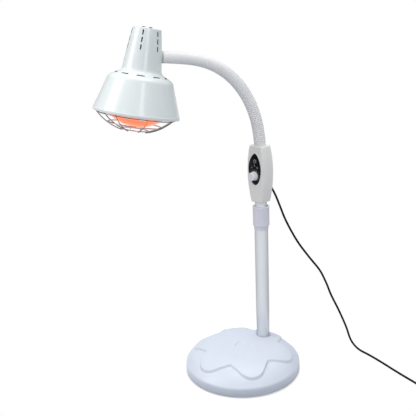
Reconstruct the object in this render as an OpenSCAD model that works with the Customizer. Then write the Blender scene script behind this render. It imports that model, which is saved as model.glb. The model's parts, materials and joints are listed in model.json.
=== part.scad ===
// Infrared heat therapy lamp: weighted flower base, telescopic pole, control box with
// dimmer, ribbed flexible neck and a bell-shaped shade over a wire-guarded heat bulb.
// Millimetres, +Z up, origin at the middle of the base's underside, control panel facing -Y.

/* [Base] */
// Diameter of the base
base_d = 240; // [225:1:260]
// Height of the crown of the base under the flower
base_crown_h = 48.5; // [44:0.5:56]
// Height at which the side wall ends and the crown begins
base_wall_h = 21; // [18:0.5:24]
// Wall of the moulded base housing
base_shell = 3; // [2:0.5:4]
// Height by which the flower stands above the crown
flower_rise = 4.5; // [2:0.5:6]
// Reach of the petals from the middle of the base
petal_reach = 107; // [104:1:109]
// Radius of each petal's round tip
petal_r = 28; // [24:1:31]
// Distance from the middle to the notches between the petals
petal_notch = 77.5; // [72:0.5:82]
// Diameter of the round dimple in the middle of the flower
dimple_d = 28; // [20:1:36]
// Thickness of the foam pad under the base
pad_t = 2.5; // [1.5:0.5:4]
// Thickness of the steel bottom cover
cover_t = 1.5; // [1:0.5:2.5]
// Diameter of the cast weight
weight_d = 190; // [180:1:196]
// Thickness of the cast weight
weight_t = 16; // [12:1:18]

/* [Pole] */
// Distance from the middle of the base to the pole
mast_y = 66; // [62:1:70]
// Outer diameter of the lower tube
outer_tube_d = 28; // [27:0.5:29]
// Wall of the lower tube
outer_tube_wall = 1.5; // [1:0.1:1.8]
// Gap from the top end of the lower tube to the box at rest
tube_gap = 29; // [29:1:50]
// Outer diameter of the upper tube
inner_tube_d = 24; // [23:0.5:24.5]
// Wall of the upper tube
inner_tube_wall = 1.2; // [1:0.1:2]
// Height of the foot of the upper tube at rest
inner_tube_z = 75; // [70:1:90]
// Diameter of the clamp collar
collar_d = 34.5; // [34:0.5:38]
// Height of the clamp collar
collar_h = 41.5; // [40:0.5:46]
// Number of flutes round the clamp collar
collar_flutes = 12; // [8:1:16]

/* [Control box] */
// Height of the underside of the box
box_z = 355; // [353:1:360]
// Height of the box
box_h = 117; // [110:1:125]
// Width of the box at its foot
box_foot_w = 29; // [28:0.5:32]
// Width of the box where it bulges most
box_mid_w = 46; // [44:0.5:50]
// Width of the box at its top
box_top_w = 33; // [32:0.5:36]
// Depth of the box at its foot
box_foot_d = 28; // [28:0.5:30]
// Depth of the box where it bulges most
box_mid_d = 34; // [33:0.5:38]
// Depth of the box at its top
box_top_d = 27.5; // [27:0.5:30]
// Height above the underside at which the box bulges most
box_bulge_h = 65; // [60:1:70]
// Wall of the box
box_wall = 2; // [1.6:0.1:2.4]
// Width of the black control panel
panel_w = 33; // [30:0.5:34]
// Height of the black control panel
panel_h = 65; // [60:0.5:68]
// Height of the middle of the panel above the underside of the box
panel_mid_h = 70; // [68:1:72]
// Diameter of the dimmer knob
knob_d = 17; // [14:0.5:19]
// Length of the dimmer knob
knob_len = 12.5; // [9:0.5:15]
// Height of the knob's axis above the underside of the box
knob_h = 57; // [55:1:60]

/* [Flexible neck] */
// Direction in which the neck leans, about the pole
neck_azimuth = -118; // [-150:1:-90]
// Number of ribbed links
neck_links = 12; // [12:1:12]
// Length of one link, from joint to joint
link_len = 22.5; // [21:0.5:24]
// Outer diameter over the ribs
neck_d = 24; // [22:0.5:26]
// Depth of the grooves between the ribs
groove_depth = 1.2; // [0.8:0.1:1.3]
// Number of ribs on each link
link_ribs = 5; // [4:1:5]
// Diameter of the wiring bore through the links
neck_bore_d = 10; // [7:0.5:11]
// Total bend of the neck from its foot to the head
neck_bend = 84; // [60:1:90]

/* [Shade] */
// Height of the shade from its lip to its closed top
shade_h = 157.5; // [150:0.5:165]
// Diameter over the rolled lip
shade_lip_d = 162.5; // [158:0.5:168]
// Diameter of the closed top
shade_top_d = 52.5; // [50:0.5:56]
// Thickness of the spun sheet
shade_sheet = 1.2; // [0.8:0.1:1.6]
// Diameter at which the shoulder turns into the wall
shoulder_d = 119.4; // [116:0.5:122]
// Height of that turn above the lip
shoulder_h = 67.4; // [65:0.2:70]
// Diameter at which the upper cone meets the shoulder
cone_foot_d = 73.5; // [72:0.5:77]
// Height of that corner above the lip
cone_foot_h = 79; // [77:0.5:82]
// Height above the lip at which the neck enters the cone
entry_h = 110.5; // [107:0.5:114]
// Lean of the shade on the end of the neck
shade_lean = 6; // [0:1:10]
// Roll of the shade about the end of the neck
shade_roll = 3; // [-10:1:10]

/* [Heat bulb and guard] */
// Diameter of the heat bulb
bulb_d = 121; // [118:0.5:123]
// Depth by which the bulb's face stands below the lip
bulb_drop = 22.5; // [16:0.5:24]
// Radius to which the bulb's face is domed
bulb_face_r = 80; // [76:1:90]
// Thickness of the bulb's glass
glass_t = 2; // [1:0.2:3]
// Depth of the wire guard below the lip
guard_drop = 33; // [31:0.5:40]
// Diameter of the guard's wire
guard_wire_d = 2.2; // [1.6:0.1:2.6]
// Number of wires that run out from the middle of the guard
guard_spokes = 8; // [6:1:10]

/* [Cord] */
// Diameter of the power cord
cord_d = 4.5; // [4:0.1:5]
// Mean diameter of the coiled cord
coil_d = 54; // [50:1:56]
// Length of the tapered strain relief
relief_len = 23; // [20:1:30]

/* [Hidden] */

$fn = 96;
eps = 0.01;
gap = 0.3;          // space left between pieces that move past each other
running = 0.05;     // radial clearance of a running fit

// Base
base_r = base_d / 2;
crown_power = 5;            // how flat the crown stays before it falls to the rim
cover_top = pad_t + cover_t;
weight_top = cover_top + weight_t;
cover_r = base_r - base_shell - 0.5;
pad_r = base_r - 6;
petal_ring_r = petal_reach - petal_r;
petals = 6;
petal_turn = 26;            // turns the petals so that the pole stands on one of them
dimple_depth = 1.2;
boss_ring_r = base_r - 14;
boss_d = 8;
screw_d = 3;
screw_head_d = 5.6;
screw_len = 13;
foot_ring_r = outer_tube_d / 2 + 1.4;
foot_ring_h = 3;
pole_bolt_d = 8;
pole_bolt_head = 13;
pole_bolt_head_t = 5.3;
pole_plug_len = 22;

// Pole
outer_tube_top = box_z - tube_gap;
ferrule_bore_r = inner_tube_d / 2 + 0.4;
ferrule_r = outer_tube_d / 2 + 1.6;
ferrule_ring_r = ferrule_r - 0.6;
ferrule_z = outer_tube_top - 30;
ferrule_top = outer_tube_top + 7;
collar_z = ferrule_z + 8;
collar_bore_r = ferrule_r + running;
collet_h = 7.5;
collet_r = inner_tube_d / 2 + 2;
collet_slit = 2;
inner_tube_len = box_z + 16 - inner_tube_z;
bush_r = outer_tube_d / 2 - outer_tube_wall - running;
bush_h = 19.4;
stub_r = 6;
stub_head_r = 8.5;
stub_head_t = 3.5;

// Control box
box_top = box_z + box_h;
chamfer_end = 2;
chamfer_mid = 4.2;
box_steps = 12;
seam = 0.2;
panel_recess = 0.4;
panel_t = 1.4;
panel_side_gap = 0.15;
panel_z = box_z + panel_mid_h;
knob_z = box_z + knob_h;
shaft_r = 3;
bushing_r = 5;
box_screw_z = [box_z + 27, box_top - 22];
boss_r = 4;

// Flexible neck
joint_foot_z = box_top + 5; // height of the lowest neck joint
rib_r = neck_d / 2;
groove_r = rib_r - groove_depth;
dome_r = groove_r - 0.8;
socket_r = dome_r + gap + 0.05;
dome_rise = 3;
lip_back = 1.7;             // distance from a joint's middle to the lips on both sides of it
socket_depth = 6.6;
rib_foot = 1.25;            // half of a rib's width at its foot
rib_crown = 0.65;           // half of a rib's width at its crown
peak_joint = 9;             // joint at which the neck bends most
foot_share = 0.58;          // bend at the foot, as a share of the peak
head_share = 0.13;          // bend at the head, as a share of the peak
end_fitting_len = 22;
gasket_t = 1.4;
stem_r = 9;
pipe_r = 5;

// Shade
lip_h = 5;
lip_r = shade_lip_d / 2;
top_r = shade_top_d / 2;
cone_foot = [cone_foot_d / 2, cone_foot_h];
shoulder = [shoulder_d / 2, shoulder_h];
cone_belly = 0.9;           // how far the upper cone swells beyond a straight line
cone_steps = 6;
wall_end = [lip_r - 0.9, lip_h];
slot_turn = 6;
neck_slots = 6;
slot_rows = 3;
shoulder_slots = 10;
slot_w = 2.4;
slot_first = 8.5;           // depth of the first row of slots below the top
slot_pitch = 13.2;
shoulder_slot_r = 48;
shoulder_lean = atan2(cone_foot.y - shoulder.y, shoulder.x - cone_foot.x);
bracket_turn = -49;
bracket_screw_r = 8;
bracket_t = 1.5;
bracket_w = 15;
socket_body_r = 20;
socket_top = shade_h - 18.5;
socket_len = 44;

// Bulb
cap_r = 13.1;
cap_foot = socket_top - socket_len - 2;
cap_top = cap_foot + 26;
bulb_rim_h = bulb_face_r - bulb_drop - sqrt(pow(bulb_face_r, 2) - pow(bulb_d / 2, 2));
bulb_belt_h = bulb_rim_h + 6;
bulb_neck_r = 15;

// Guard
guard_r = lip_r - shade_sheet - guard_wire_d / 2 - 0.1;
guard_edge_h = 2.7;
guard_depth = guard_drop + guard_edge_h;
guard_dome_r = (pow(guard_r, 2) + pow(guard_depth, 2)) / (2 * guard_depth);
guard_rings = [26, 50, 72];

// Cord: hand-chosen points from the strain relief to the coil
relief_root = [0, 81, 402];
relief_dir = [5, 10, -20] / norm([5, 10, -20]);
cord_exit = relief_root + relief_dir * relief_len;
cord_points = [cord_exit, [7.5, 96, 371.5], [11, 101, 358], [17, 106, 337], [24, 113, 310], [34, 123, 280],
               [44, 135, 252], [58, 152, 220], [73, 168, 190], [82, 179, 160], [89, 188, 130],
               [99, 199, 98], [107, 208, 70], [112.7, 214.6, 47.5], [118.2, 220.4, 22.8], [127.9, 222.4, 9.3],
               [143.2, 221.5, 2.7], [164.6, 217.7, 2.7], [186, 214, 2.4], [215, 207, 2.4], [243, 199.5, 2.4],
               [270, 193, 2.4], [297, 187, 2.4], [320, 181, 2.8], [334, 177, 3.2]];
cord_sides = 8;
cord_ring_step = 3 * cord_d;
coil_pitch = 5.2;           // radial step from one turn of the coil to the next
coil_layer_turns = 3;
coil_turns = 2 * coil_layer_turns + 0.5;
coil_rings = 24;            // rings of points in each turn
coil_sides = 6;
coil_dip = 0.9;             // how far the climbing half turn draws in
coil_layer_step = cord_d + 0.45;
coil_run = unit(cord_points[len(cord_points) - 1] - cord_points[len(cord_points) - 2]);
coil_heading = atan2(coil_run.y, coil_run.x);
coil_out_r = coil_d / 2 + coil_pitch * coil_layer_turns / 2;
coil_start = cord_points[len(cord_points) - 1];
coil_axis = coil_start + coil_out_r * [-sin(coil_heading), cos(coil_heading), 0];
coil_lead = cord_d;         // straight run at each end of the coil
tie_w = 6;
tie_t = 0.6;
tie_angle = 150;
plug_len = 36;
plug_neck = 19;              // length of the plug's tapered neck from the end of the coil
plug_w = 26;
plug_t = 13.7;
pin_r = 2;
pin_len = 19;
pin_spacing = 19;

// ---------------------------------------------------------------- geometry helpers

function unit(v) = v / norm(v);
function turned(p, a) = [p.x * cos(a) - p.y * sin(a), p.x * sin(a) + p.y * cos(a)];
function smooth(t) = (1 - cos(180 * t)) / 2;
function mix(a, b, t) = a + (b - a) * t;
function sum_to(list, last) = last < 0 ? 0 : list[last] + sum_to(list, last - 1);

// Points of a round corner of radius r at b, between the lines to a and c
function round_corner(a, b, c, r, n = 6) =
    let (u = unit(a - b), v = unit(c - b), half = acos(u * v) / 2,
         middle = b + unit(u + v) * r / sin(half),
         first = b + u * r / tan(half) - middle,
         last = b + v * r / tan(half) - middle)
    [for (i = [0:n]) middle + r * unit(mix(first, last, i / n))];

// Points of an arc about c
function arc(c, r, from, to, n) = [for (i = [0:n]) let (a = mix(from, to, i / n)) c + r * [cos(a), sin(a)]];

function reversed(list) = [for (i = [len(list) - 1:-1:0]) list[i]];

// The profile moved sideways by t, to its left as it runs
function beside(profile, t) =
    [for (i = [0:len(profile) - 1])
        let (run = unit(profile[min(i + 1, len(profile) - 1)] - profile[max(i - 1, 0)]))
        profile[i] + t * [-run.y, run.x]];

// Closed outline of a sheet of thickness t along a profile; r is kept from crossing the axis
function sheet(profile, t) =
    concat(profile, [for (p = reversed(beside(profile, t))) [max(p.x, 0), p.y]]);

module ring(r_out, r_in, z0, z1) {
    translate([0, 0, z0]) difference() {
        cylinder(r = r_out, h = z1 - z0);
        translate([0, 0, -1]) cylinder(r = r_in, h = z1 - z0 + 2);
    }
}

// Direction in which a path runs at its point i
function run_at(path, i) = unit(path[min(i + 1, len(path) - 1)] - path[max(i - 1, 0)]);

// A round tube swept through a list of points, its ends square to the given runs
module tube_along(path, r, sides, start_run, end_run) {
    last = len(path) - 1;
    points = [for (i = [0:last])
        let (run = i == 0 ? start_run : i == last ? end_run : run_at(path, i),
             side = unit(cross([0.001, 0.0007, 1], run)),
             up = cross(run, side))
        for (k = [0:sides - 1]) let (a = 360 * (k + 0.5) / sides) path[i] + r * (cos(a) * side + sin(a) * up)];
    walls = [for (i = [0:last - 1], k = [0:sides - 1])
        let (a = i * sides + k, b = i * sides + (k + 1) % sides)
        each [[a, a + sides, b], [b, a + sides, b + sides]]];
    ends = concat([for (k = [1:sides - 2]) [0, k, k + 1]],
                  [for (k = [1:sides - 2]) [last * sides, last * sides + k + 1, last * sides + k]]);
    polyhedron(points, concat(walls, ends), convexity = 12);
}

// Smooth curve through points (Catmull-Rom), n steps between each two
function curve_point(a, b, c, d, t) =
    0.5 * (2 * b + (c - a) * t + (2 * a - 5 * b + 4 * c - d) * t * t + (3 * b - a - 3 * c + d) * t * t * t);
function curve_through(p, step) =
    concat([for (i = [0:len(p) - 2])
        let (a = p[max(i - 1, 0)], b = p[i], c = p[i + 1], d = p[min(i + 2, len(p) - 1)],
             n = max(1, round(norm(c - b) / step)))
        for (k = [0:n - 1]) curve_point(a, b, c, d, k / n)],
        [p[len(p) - 1]]);

// ---------------------------------------------------------------- base

// Height of the crown's outer surface at radius r, for a base grown inwards by inset
function crown_z(r, inset = 0) =
    base_crown_h - inset - (base_crown_h - base_wall_h) * pow(r / (base_r - inset), crown_power);

module crown_solid(inset = 0, lift = 0, foot = pad_t) {
    rim = base_r - inset;
    rotate_extrude($fn = 180)
        polygon(concat([[0, foot], [rim - (inset > 0 ? 0 : 1), foot], [rim, foot + 1]],
                       [for (i = [16:-1:0]) let (r = rim * sin(90 * i / 16)) [r, crown_z(r, inset) + lift]]));
}

// Outline of the flower: each petal has a round tip and straight sides that run back to the notches
petal_half = 180 / petals;
petal_side = petal_notch * [cos(petal_half), sin(petal_half)] - [petal_ring_r, 0];
petal_arc = atan2(petal_side.y, petal_side.x) - acos(petal_r / norm(petal_side));
flower_outline = [for (k = [0:petals - 1]) let (turn = petal_turn + k * 360 / petals)
    each concat([for (p = arc([petal_ring_r, 0], petal_r, -petal_arc, petal_arc, 16)) turned(p, turn)],
                [turned([petal_notch, 0], turn + petal_half)])];

module flower_outline_solid() linear_extrude(base_crown_h + 20) polygon(flower_outline);

module at_bosses() {
    for (k = [0:3]) rotate([0, 0, 45 + 90 * k]) translate([boss_ring_r, 0, 0]) children();
}

module at_mast() translate([0, mast_y, 0]) children();

module base_housing() {
    color("#E2E3EA") difference() {
        union() {
            difference() {
                union() {
                    crown_solid();
                    intersection() {
                        crown_solid(lift = flower_rise);
                        flower_outline_solid();
                    }
                }
                crown_solid(inset = base_shell, foot = -1);
            }
            intersection() {
                crown_solid();
                at_bosses() translate([0, 0, cover_top]) cylinder(d = boss_d, h = base_crown_h);
            }
        }
        at_bosses() cylinder(d = screw_d, h = pad_t + screw_len);
        at_mast() translate([0, 0, weight_top]) cylinder(r = foot_ring_r, h = base_crown_h);
        translate([0, 0, base_crown_h + flower_rise - dimple_depth]) cylinder(d = dimple_d, h = 10);
    }
}

module base_weight() {
    color("#54565A") difference() {
        translate([0, 0, cover_top]) cylinder(d = weight_d, h = weight_t);
        at_mast() {
            cylinder(d = pole_bolt_d + 1, h = weight_top + 1);
            cylinder(r = pole_bolt_head / 2 + 1.5, h = cover_top + pole_bolt_head_t + 0.5);
        }
    }
}

module base_bottom_cover() {
    color("#B9BBC0") difference() {
        translate([0, 0, pad_t]) cylinder(r = cover_r, h = cover_t);
        at_bosses() translate([0, 0, pad_t]) cylinder(d1 = screw_head_d, d2 = screw_d, h = cover_t);
    }
}

module base_foot_pad() {
    color("#3A3B3D") cylinder(r = pad_r, h = pad_t);
}

module base_screws() {
    color("#B0B2B6") at_bosses() translate([0, 0, pad_t]) {
        cylinder(d1 = screw_head_d, d2 = screw_d, h = cover_t);
        translate([0, 0, cover_t]) cylinder(d = screw_d, h = screw_len - cover_t - 1);
    }
}

module pole_foot_ring() {
    color("#D5D7DE") at_mast()
        ring(foot_ring_r, outer_tube_d / 2, base_crown_h - base_shell - 2,
             crown_z(mast_y) + flower_rise + foot_ring_h);
}

module pole_plug() {
    color("#8E9094") at_mast() translate([0, 0, weight_top]) difference() {
        cylinder(r = outer_tube_d / 2 - outer_tube_wall, h = pole_plug_len);
        translate([0, 0, -1]) cylinder(d = pole_bolt_d, h = pole_plug_len + 2);
    }
}

module pole_bolt() {
    color("#9A9CA0") at_mast() {
        translate([0, 0, cover_top + 0.4]) cylinder(d = pole_bolt_head, h = pole_bolt_head_t + 0.1, $fn = 6);
        translate([0, 0, cover_top + 1]) cylinder(d = pole_bolt_d, h = weight_t + pole_plug_len - 4);
    }
}

// ---------------------------------------------------------------- pole

module outer_tube() {
    color("#D3D7DF") at_mast()
        ring(outer_tube_d / 2, outer_tube_d / 2 - outer_tube_wall, weight_top, outer_tube_top);
}

// Sleeve on the top end of the lower tube: a stop ring, a threaded part and a tapered nose
module tube_ferrule() {
    thread_turns = 4;
    thread_pitch = 3;
    thread_z = collar_z + 6;
    color("#C9C9D2") at_mast() rotate_extrude()
        polygon(concat([[outer_tube_d / 2, ferrule_z], [ferrule_ring_r, ferrule_z],
                        [ferrule_ring_r, collar_z - 0.4],
                        [ferrule_r, collar_z + 0.2]],
                       [for (i = [0:thread_turns - 1]) let (z = thread_z + i * thread_pitch)
                           each [[ferrule_r, z], [ferrule_r - 0.8, z + 0.8],
                                 [ferrule_r - 0.8, z + 1.4], [ferrule_r, z + 2.2]]],
                       [[ferrule_r, outer_tube_top + 1], [ferrule_r - 1.6, ferrule_top],
                        [ferrule_bore_r, ferrule_top],
                        [ferrule_bore_r, outer_tube_top], [outer_tube_d / 2, outer_tube_top]]));
}

module collet() {
    color("#EDEDED") at_mast() difference() {
        ring(collet_r, inner_tube_d / 2 + running, ferrule_top, ferrule_top + collet_h);
        translate([0, -collet_slit / 2, ferrule_top - 1]) cube([collet_r + 1, collet_slit, collet_h + 2]);
    }
}

module clamp_collar() {
    collar_r = collar_d / 2;
    top = collar_z + collar_h;
    cap_z = ferrule_top + collet_h + gap;
    color("#C4C4D0") at_mast() difference() {
        rotate_extrude()
            polygon([[collar_bore_r, collar_z], [collar_r - 0.8, collar_z], [collar_r, collar_z + 0.8],
                     [collar_r, top - 2.5], [collar_r - 2, top], [inner_tube_d / 2 + gap, top],
                     [inner_tube_d / 2 + gap, cap_z], [collet_r + gap, cap_z],
                     [collet_r + gap, ferrule_top + gap],
                     [ferrule_r - 1.6 + gap, ferrule_top + gap], [collar_bore_r, outer_tube_top + 1 + gap]]);
        for (k = [0:collar_flutes - 1]) rotate([0, 0, (k + 0.5) * 360 / collar_flutes])
            translate([collar_r + 2.6, 0, collar_z + 4]) cylinder(r = 3, h = collar_h - 9, $fn = 32);
    }
}

// Sliding bush that centres the upper tube; the tube's end plug turns in it
module guide_bush() {
    color("#E8E8E4") at_mast()
        ring(bush_r, stub_r + running, inner_tube_z - gap - bush_h, inner_tube_z - gap);
}

module tube_end_plug() {
    color("#8E9094") at_mast() {
        translate([0, 0, inner_tube_z]) cylinder(r = inner_tube_d / 2 - inner_tube_wall, h = 20);
        translate([0, 0, inner_tube_z - bush_h - 2 * gap]) cylinder(r = stub_r, h = bush_h + 2 * gap + 1);
        translate([0, 0, inner_tube_z - bush_h - 2 * gap - stub_head_t])
            cylinder(r = stub_head_r, h = stub_head_t);
    }
}

module inner_tube() {
    color("#D3D7DF") at_mast()
        ring(inner_tube_d / 2, inner_tube_d / 2 - inner_tube_wall,
             inner_tube_z, inner_tube_z + inner_tube_len);
}

// ---------------------------------------------------------------- control box

// A size of the box at height z, from its three sizes at foot, bulge and top
function bulged(foot, middle, top, z) =
    let (bulge_z = box_z + box_bulge_h)
    z < bulge_z ? middle - (middle - foot) * pow((bulge_z - z) / box_bulge_h, 2)
                : middle - (middle - top) * pow((z - bulge_z) / (box_h - box_bulge_h), 2);
function box_w(z) = bulged(box_foot_w, box_mid_w, box_top_w, z);
function box_d(z) = bulged(box_foot_d, box_mid_d, box_top_d, z);
function box_chamfer(z) = bulged(chamfer_end, chamfer_mid, chamfer_end, z);

// The four outlines that bound the box: front, side and the two chamfered diagonals
module box_form(inset = 0, end_inset = 0) {
    z_list = [for (i = [0:box_steps]) mix(box_z + end_inset, box_top - end_inset, i / box_steps)];
    half_w = [for (z = z_list) box_w(z) / 2 - inset];
    half_d = [for (z = z_list) box_d(z) / 2 - inset];
    half_x = [for (z = z_list) ((box_w(z) + box_d(z)) / 2 - box_chamfer(z)) / sqrt(2) - inset];
    intersection() {
        box_outline(half_w, z_list, 0);
        box_outline(half_d, z_list, 90);
        box_outline(half_x, z_list, 45);
        box_outline(half_x, z_list, -45);
    }
}

module box_outline(half, z_list, turn) {
    n = len(z_list);
    rotate([90, 0, turn]) linear_extrude(3 * box_mid_w, center = true)
        polygon(concat([for (i = [0:n - 1]) [half[i], z_list[i]]],
                       [for (i = [n - 1:-1:0]) [-half[i], z_list[i]]]));
}

// Pointed oval of the panel, drawn upright, grown by more on every side
module panel_outline(more = 0) {
    half_w = panel_w / 2 + more;
    half_h = panel_h / 2 + more;
    n = 14;
    side = [for (i = [0:n]) let (t = -cos(180 * i / n), bulge = t > 0 ? 0.8 : 0.55)
                [half_w * pow(max(1 - t * t, 0), bulge), half_h * t]];
    polygon(concat(side, [for (i = [n - 1:-1:1]) [-side[i].x, side[i].y]]));
}

module panel_prism(more = 0) {
    translate([0, 0, panel_z]) rotate([90, 0, 0]) linear_extrude(box_mid_d) panel_outline(more);
}

module at_knob() translate([0, mast_y - box_d(knob_z) / 2, knob_z]) rotate([90, 0, 0]) children();

module box_half(front) {
    reach = box_mid_w;
    intersection() {
        difference() {
            box_form();
            box_form(inset = box_wall, end_inset = box_wall);
            translate([0, 0, box_z - 1]) cylinder(r = inner_tube_d / 2, h = box_wall + 2);
            translate([0, 0, box_top - box_wall - 1]) cylinder(r = stem_r, h = box_wall + 2);
        }
        translate([-reach, front ? -2 * reach : seam / 2, box_z - 1])
            cube([2 * reach, 2 * reach - (front ? seam / 2 : 0), box_h + 2]);
    }
}

module at_box_screws() for (z = box_screw_z) translate([0, 0, z]) rotate([-90, 0, 0]) children();

module box_boss(front) {
    intersection() {
        box_form(inset = 0.2, end_inset = 0.2);
        at_box_screws() translate([0, 0, front ? -box_mid_d : seam / 2])
            cylinder(r = boss_r, h = box_mid_d - (front ? seam / 2 : 0));
    }
}

module box_front_shell() {
    color("#D2D1CE") at_mast() difference() {
        union() {
            box_half(true);
            box_boss(true);
        }
        difference() {
            panel_prism(panel_side_gap);
            box_form(inset = panel_recess + panel_t);
        }
        translate([0, 0, knob_z]) rotate([90, 0, 0]) cylinder(r = bushing_r, h = box_mid_d);
        at_box_screws() translate([0, 0, -6]) cylinder(r = 1.5, h = 10);
    }
}

module box_rear_shell() {
    color("#D2D1CE") difference() {
        at_mast() difference() {
            union() {
                box_half(false);
                box_boss(false);
            }
            at_box_screws() {
                translate([0, 0, -1]) cylinder(r = 1.5, h = box_mid_d);
                translate([0, 0, 8]) cylinder(r = 3.2, h = box_mid_d);
            }
        }
        relief_axis() cylinder(r = 4.1, h = 30, center = true);
    }
}

module box_screws() {
    color("#9A9CA0") at_mast() at_box_screws() {
        translate([0, 0, 8]) cylinder(r = 2.8, h = 2.4);
        translate([0, 0, -5.5]) cylinder(r = 1.5, h = 14);
    }
}

module control_panel() {
    color("#17181B") at_mast() difference() {
        intersection() {
            box_form(inset = panel_recess);
            panel_prism();
        }
        box_form(inset = panel_recess + panel_t);
        translate([0, 0, knob_z]) rotate([90, 0, 0]) cylinder(r = bushing_r, h = box_mid_d);
    }
}

module dimmer_knob() {
    color("#F0F0F2") at_knob() difference() {
        union() {
            rotate_extrude()
                polygon([[0, 0.6], [knob_d / 2 + 0.6, 0.6], [knob_d / 2 + 0.6, 1.8], [knob_d / 2, 2.6],
                         [knob_d / 2 - 0.5, knob_len - 1], [knob_d / 2 - 1.5, knob_len],
                         [0, knob_len + 0.4]]);
            translate([0, 0, -9]) cylinder(r = shaft_r, h = 10);
        }
        translate([-0.6, knob_d / 2 - 5, knob_len - 0.4]) cube([1.2, 6, 2]);
    }
}

module potentiometer() {
    color("#6C6F74") at_knob() difference() {
        union() {
            translate([0, 0, -12.5]) cylinder(r = 8, h = 8);
            for (x = [-4, 0, 4]) translate([x - 0.6, -5, 0.8 - box_d(knob_z) / 2])
                cube([1.2, 0.6, box_d(knob_z) / 2 - 13]);
            translate([0, 0, -5]) cylinder(r = bushing_r, h = 4.4);
            translate([0, 0, -3.6]) cylinder(r = bushing_r + 2.6, h = 1.4, $fn = 6);
        }
        translate([0, 0, -9.5]) cylinder(r = shaft_r + running, h = 12);
    }
}

module circuit_board() {
    board_y = mast_y - 0.8;
    board_z = box_screw_z[0] + boss_r;
    board_top = box_screw_z[1] - boss_r;
    color("#2F6B45") difference() {
        translate([-11, board_y, board_z]) cube([22, 1.6, board_top - board_z]);
        for (x = [-8, 8]) translate([x, mast_y, board_z + 4]) rotate([90, 0, 0])
            cylinder(r = 1.2, h = 10, center = true);
    }
    color("#202124") translate([-5, board_y - 4, box_z + 72]) cube([10, 4, 14]);
    color("#C9A227") translate([2, board_y + 1.6, box_z + 40]) cube([7, 5, 12]);
}

module terminal_block() {
    color("#F2F2EE") at_mast() translate([-9, 0.8, box_z + 60]) difference() {
        cube([18, 8, 9]);
        for (x = [4.5, 13.5]) translate([x, -1, 4.5]) rotate([-90, 0, 0]) cylinder(r = 1.6, h = 10);
    }
}

// ---------------------------------------------------------------- flexible neck

// Bend at each joint: rises from the foot to the peak joint and falls off towards the head
function bend_weight(i) = i <= peak_joint ? mix(foot_share, 1, smooth(i / peak_joint))
                    : mix(1, head_share, smooth((i - peak_joint) / (neck_links - peak_joint)));
bend_weights = [for (i = [0:neck_links]) bend_weight(i)];
kinks = neck_bend * bend_weights / sum_to(bend_weights, neck_links);
leans = [for (i = [0:neck_links]) sum_to(kinks, i)];
link_steps = [for (i = [0:neck_links]) link_len * [sin(leans[i]), 0, cos(leans[i])]];
function steps_to(last) = last < 0 ? [0, 0, 0] : link_steps[last] + steps_to(last - 1);

// Frame of the link that stands on joint i: +Z along the link, +X to the inside of the bend
module at_joint(i) {
    at_mast() translate([0, 0, joint_foot_z]) rotate([0, 0, neck_azimuth])
        translate(steps_to(i - 1)) rotate([0, leans[i], 0]) children();
}

// Outline of n ribs between heights z0 and z1
function ribs(z0, z1, n) =
    [for (k = [0:n - 1]) let (z = n == 1 ? (z0 + z1) / 2 : mix(z0 + rib_foot, z1 - rib_foot, k / (n - 1)))
        each [[groove_r, z - rib_foot], [rib_r, z - rib_crown],
              [rib_r, z + rib_crown], [groove_r, z + rib_foot]]];

// The hollow end that sits over the dome below it, from the axis side to the outer lip
function socket_end() =
    concat([[neck_bore_d / 2, socket_depth]],
           arc([0, 0], socket_r, asin(socket_depth / socket_r), asin(lip_back / socket_r), 5));

// The domed end that carries the next link, from the outer lip to the axis side
function dome_end(z) =
    concat(arc([0, z], dome_r, -asin(lip_back / dome_r), asin(dome_rise / dome_r), 5),
           [[neck_bore_d / 2 + 2.5, z + dome_rise], [neck_bore_d / 2, z - 5]]);

module neck_link(number) {
    color("#E4E5E8") at_joint(number - 1) rotate_extrude($fn = 64)
        polygon(concat(socket_end(), ribs(lip_back, link_len - lip_back, link_ribs), dome_end(link_len)));
}

module neck_foot_fitting() {
    color("#E4E5E8") at_mast() translate([0, 0, joint_foot_z]) rotate_extrude($fn = 64)
        polygon(concat([[neck_bore_d / 2, -22], [stem_r, -22], [stem_r, box_top - joint_foot_z]],
                       [[groove_r, box_top - joint_foot_z]],
                       ribs(box_top - joint_foot_z + 0.2, -lip_back, 1), dome_end(0)));
}

module neck_foot_nut() {
    color("#A9ABB0") at_mast() translate([0, 0, box_top - box_wall - 5]) difference() {
        cylinder(r = stem_r + 2.4, h = 5, $fn = 6);
        translate([0, 0, -1]) cylinder(r = stem_r, h = 7);
    }
}

module neck_end_fitting() {
    face = end_fitting_len - gasket_t - gap;
    color("#E4E5E8") at_joint(neck_links) rotate_extrude($fn = 64)
        polygon(concat(socket_end(), ribs(lip_back, face, link_ribs - 1),
                       [[groove_r, face], [pipe_r, face], [pipe_r, end_fitting_len + 11],
                        [pipe_r - 1.5, end_fitting_len + 11],
                        [pipe_r - 1.5, socket_depth + 4]]));
}

module neck_end_nut() {
    seat = end_fitting_len + shade_sheet + 2.3;
    color("#A9ABB0") at_joint(neck_links) translate([0, 0, seat]) difference() {
        cylinder(r = pipe_r + 3.6, h = 5, $fn = 6);
        translate([0, 0, -1]) cylinder(r = pipe_r, h = 7);
    }
}

// ---------------------------------------------------------------- head

// Radius of the upper cone's outer surface at height h above the lip
function cone_r(h) =
    let (t = (h - cone_foot.y) / (shade_h - cone_foot.y))
    mix(cone_foot.x, top_r, t) + 4 * cone_belly * t * (1 - t);
function cone_point(t) = let (h = mix(shade_h - 12, cone_foot.y + 12, t)) [cone_r(h), h];

// Frame of the shade: origin in the middle of the lip, +Z to its closed top, neck entering from +X
module at_head() {
    at_joint(neck_links) translate([0, 0, end_fitting_len]) rotate([0, 0, shade_roll])
        rotate([0, -90 - shade_lean, 0]) rotate([0, 0, 180])
            translate([-cone_r(entry_h), 0, -entry_h]) children();
}

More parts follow.
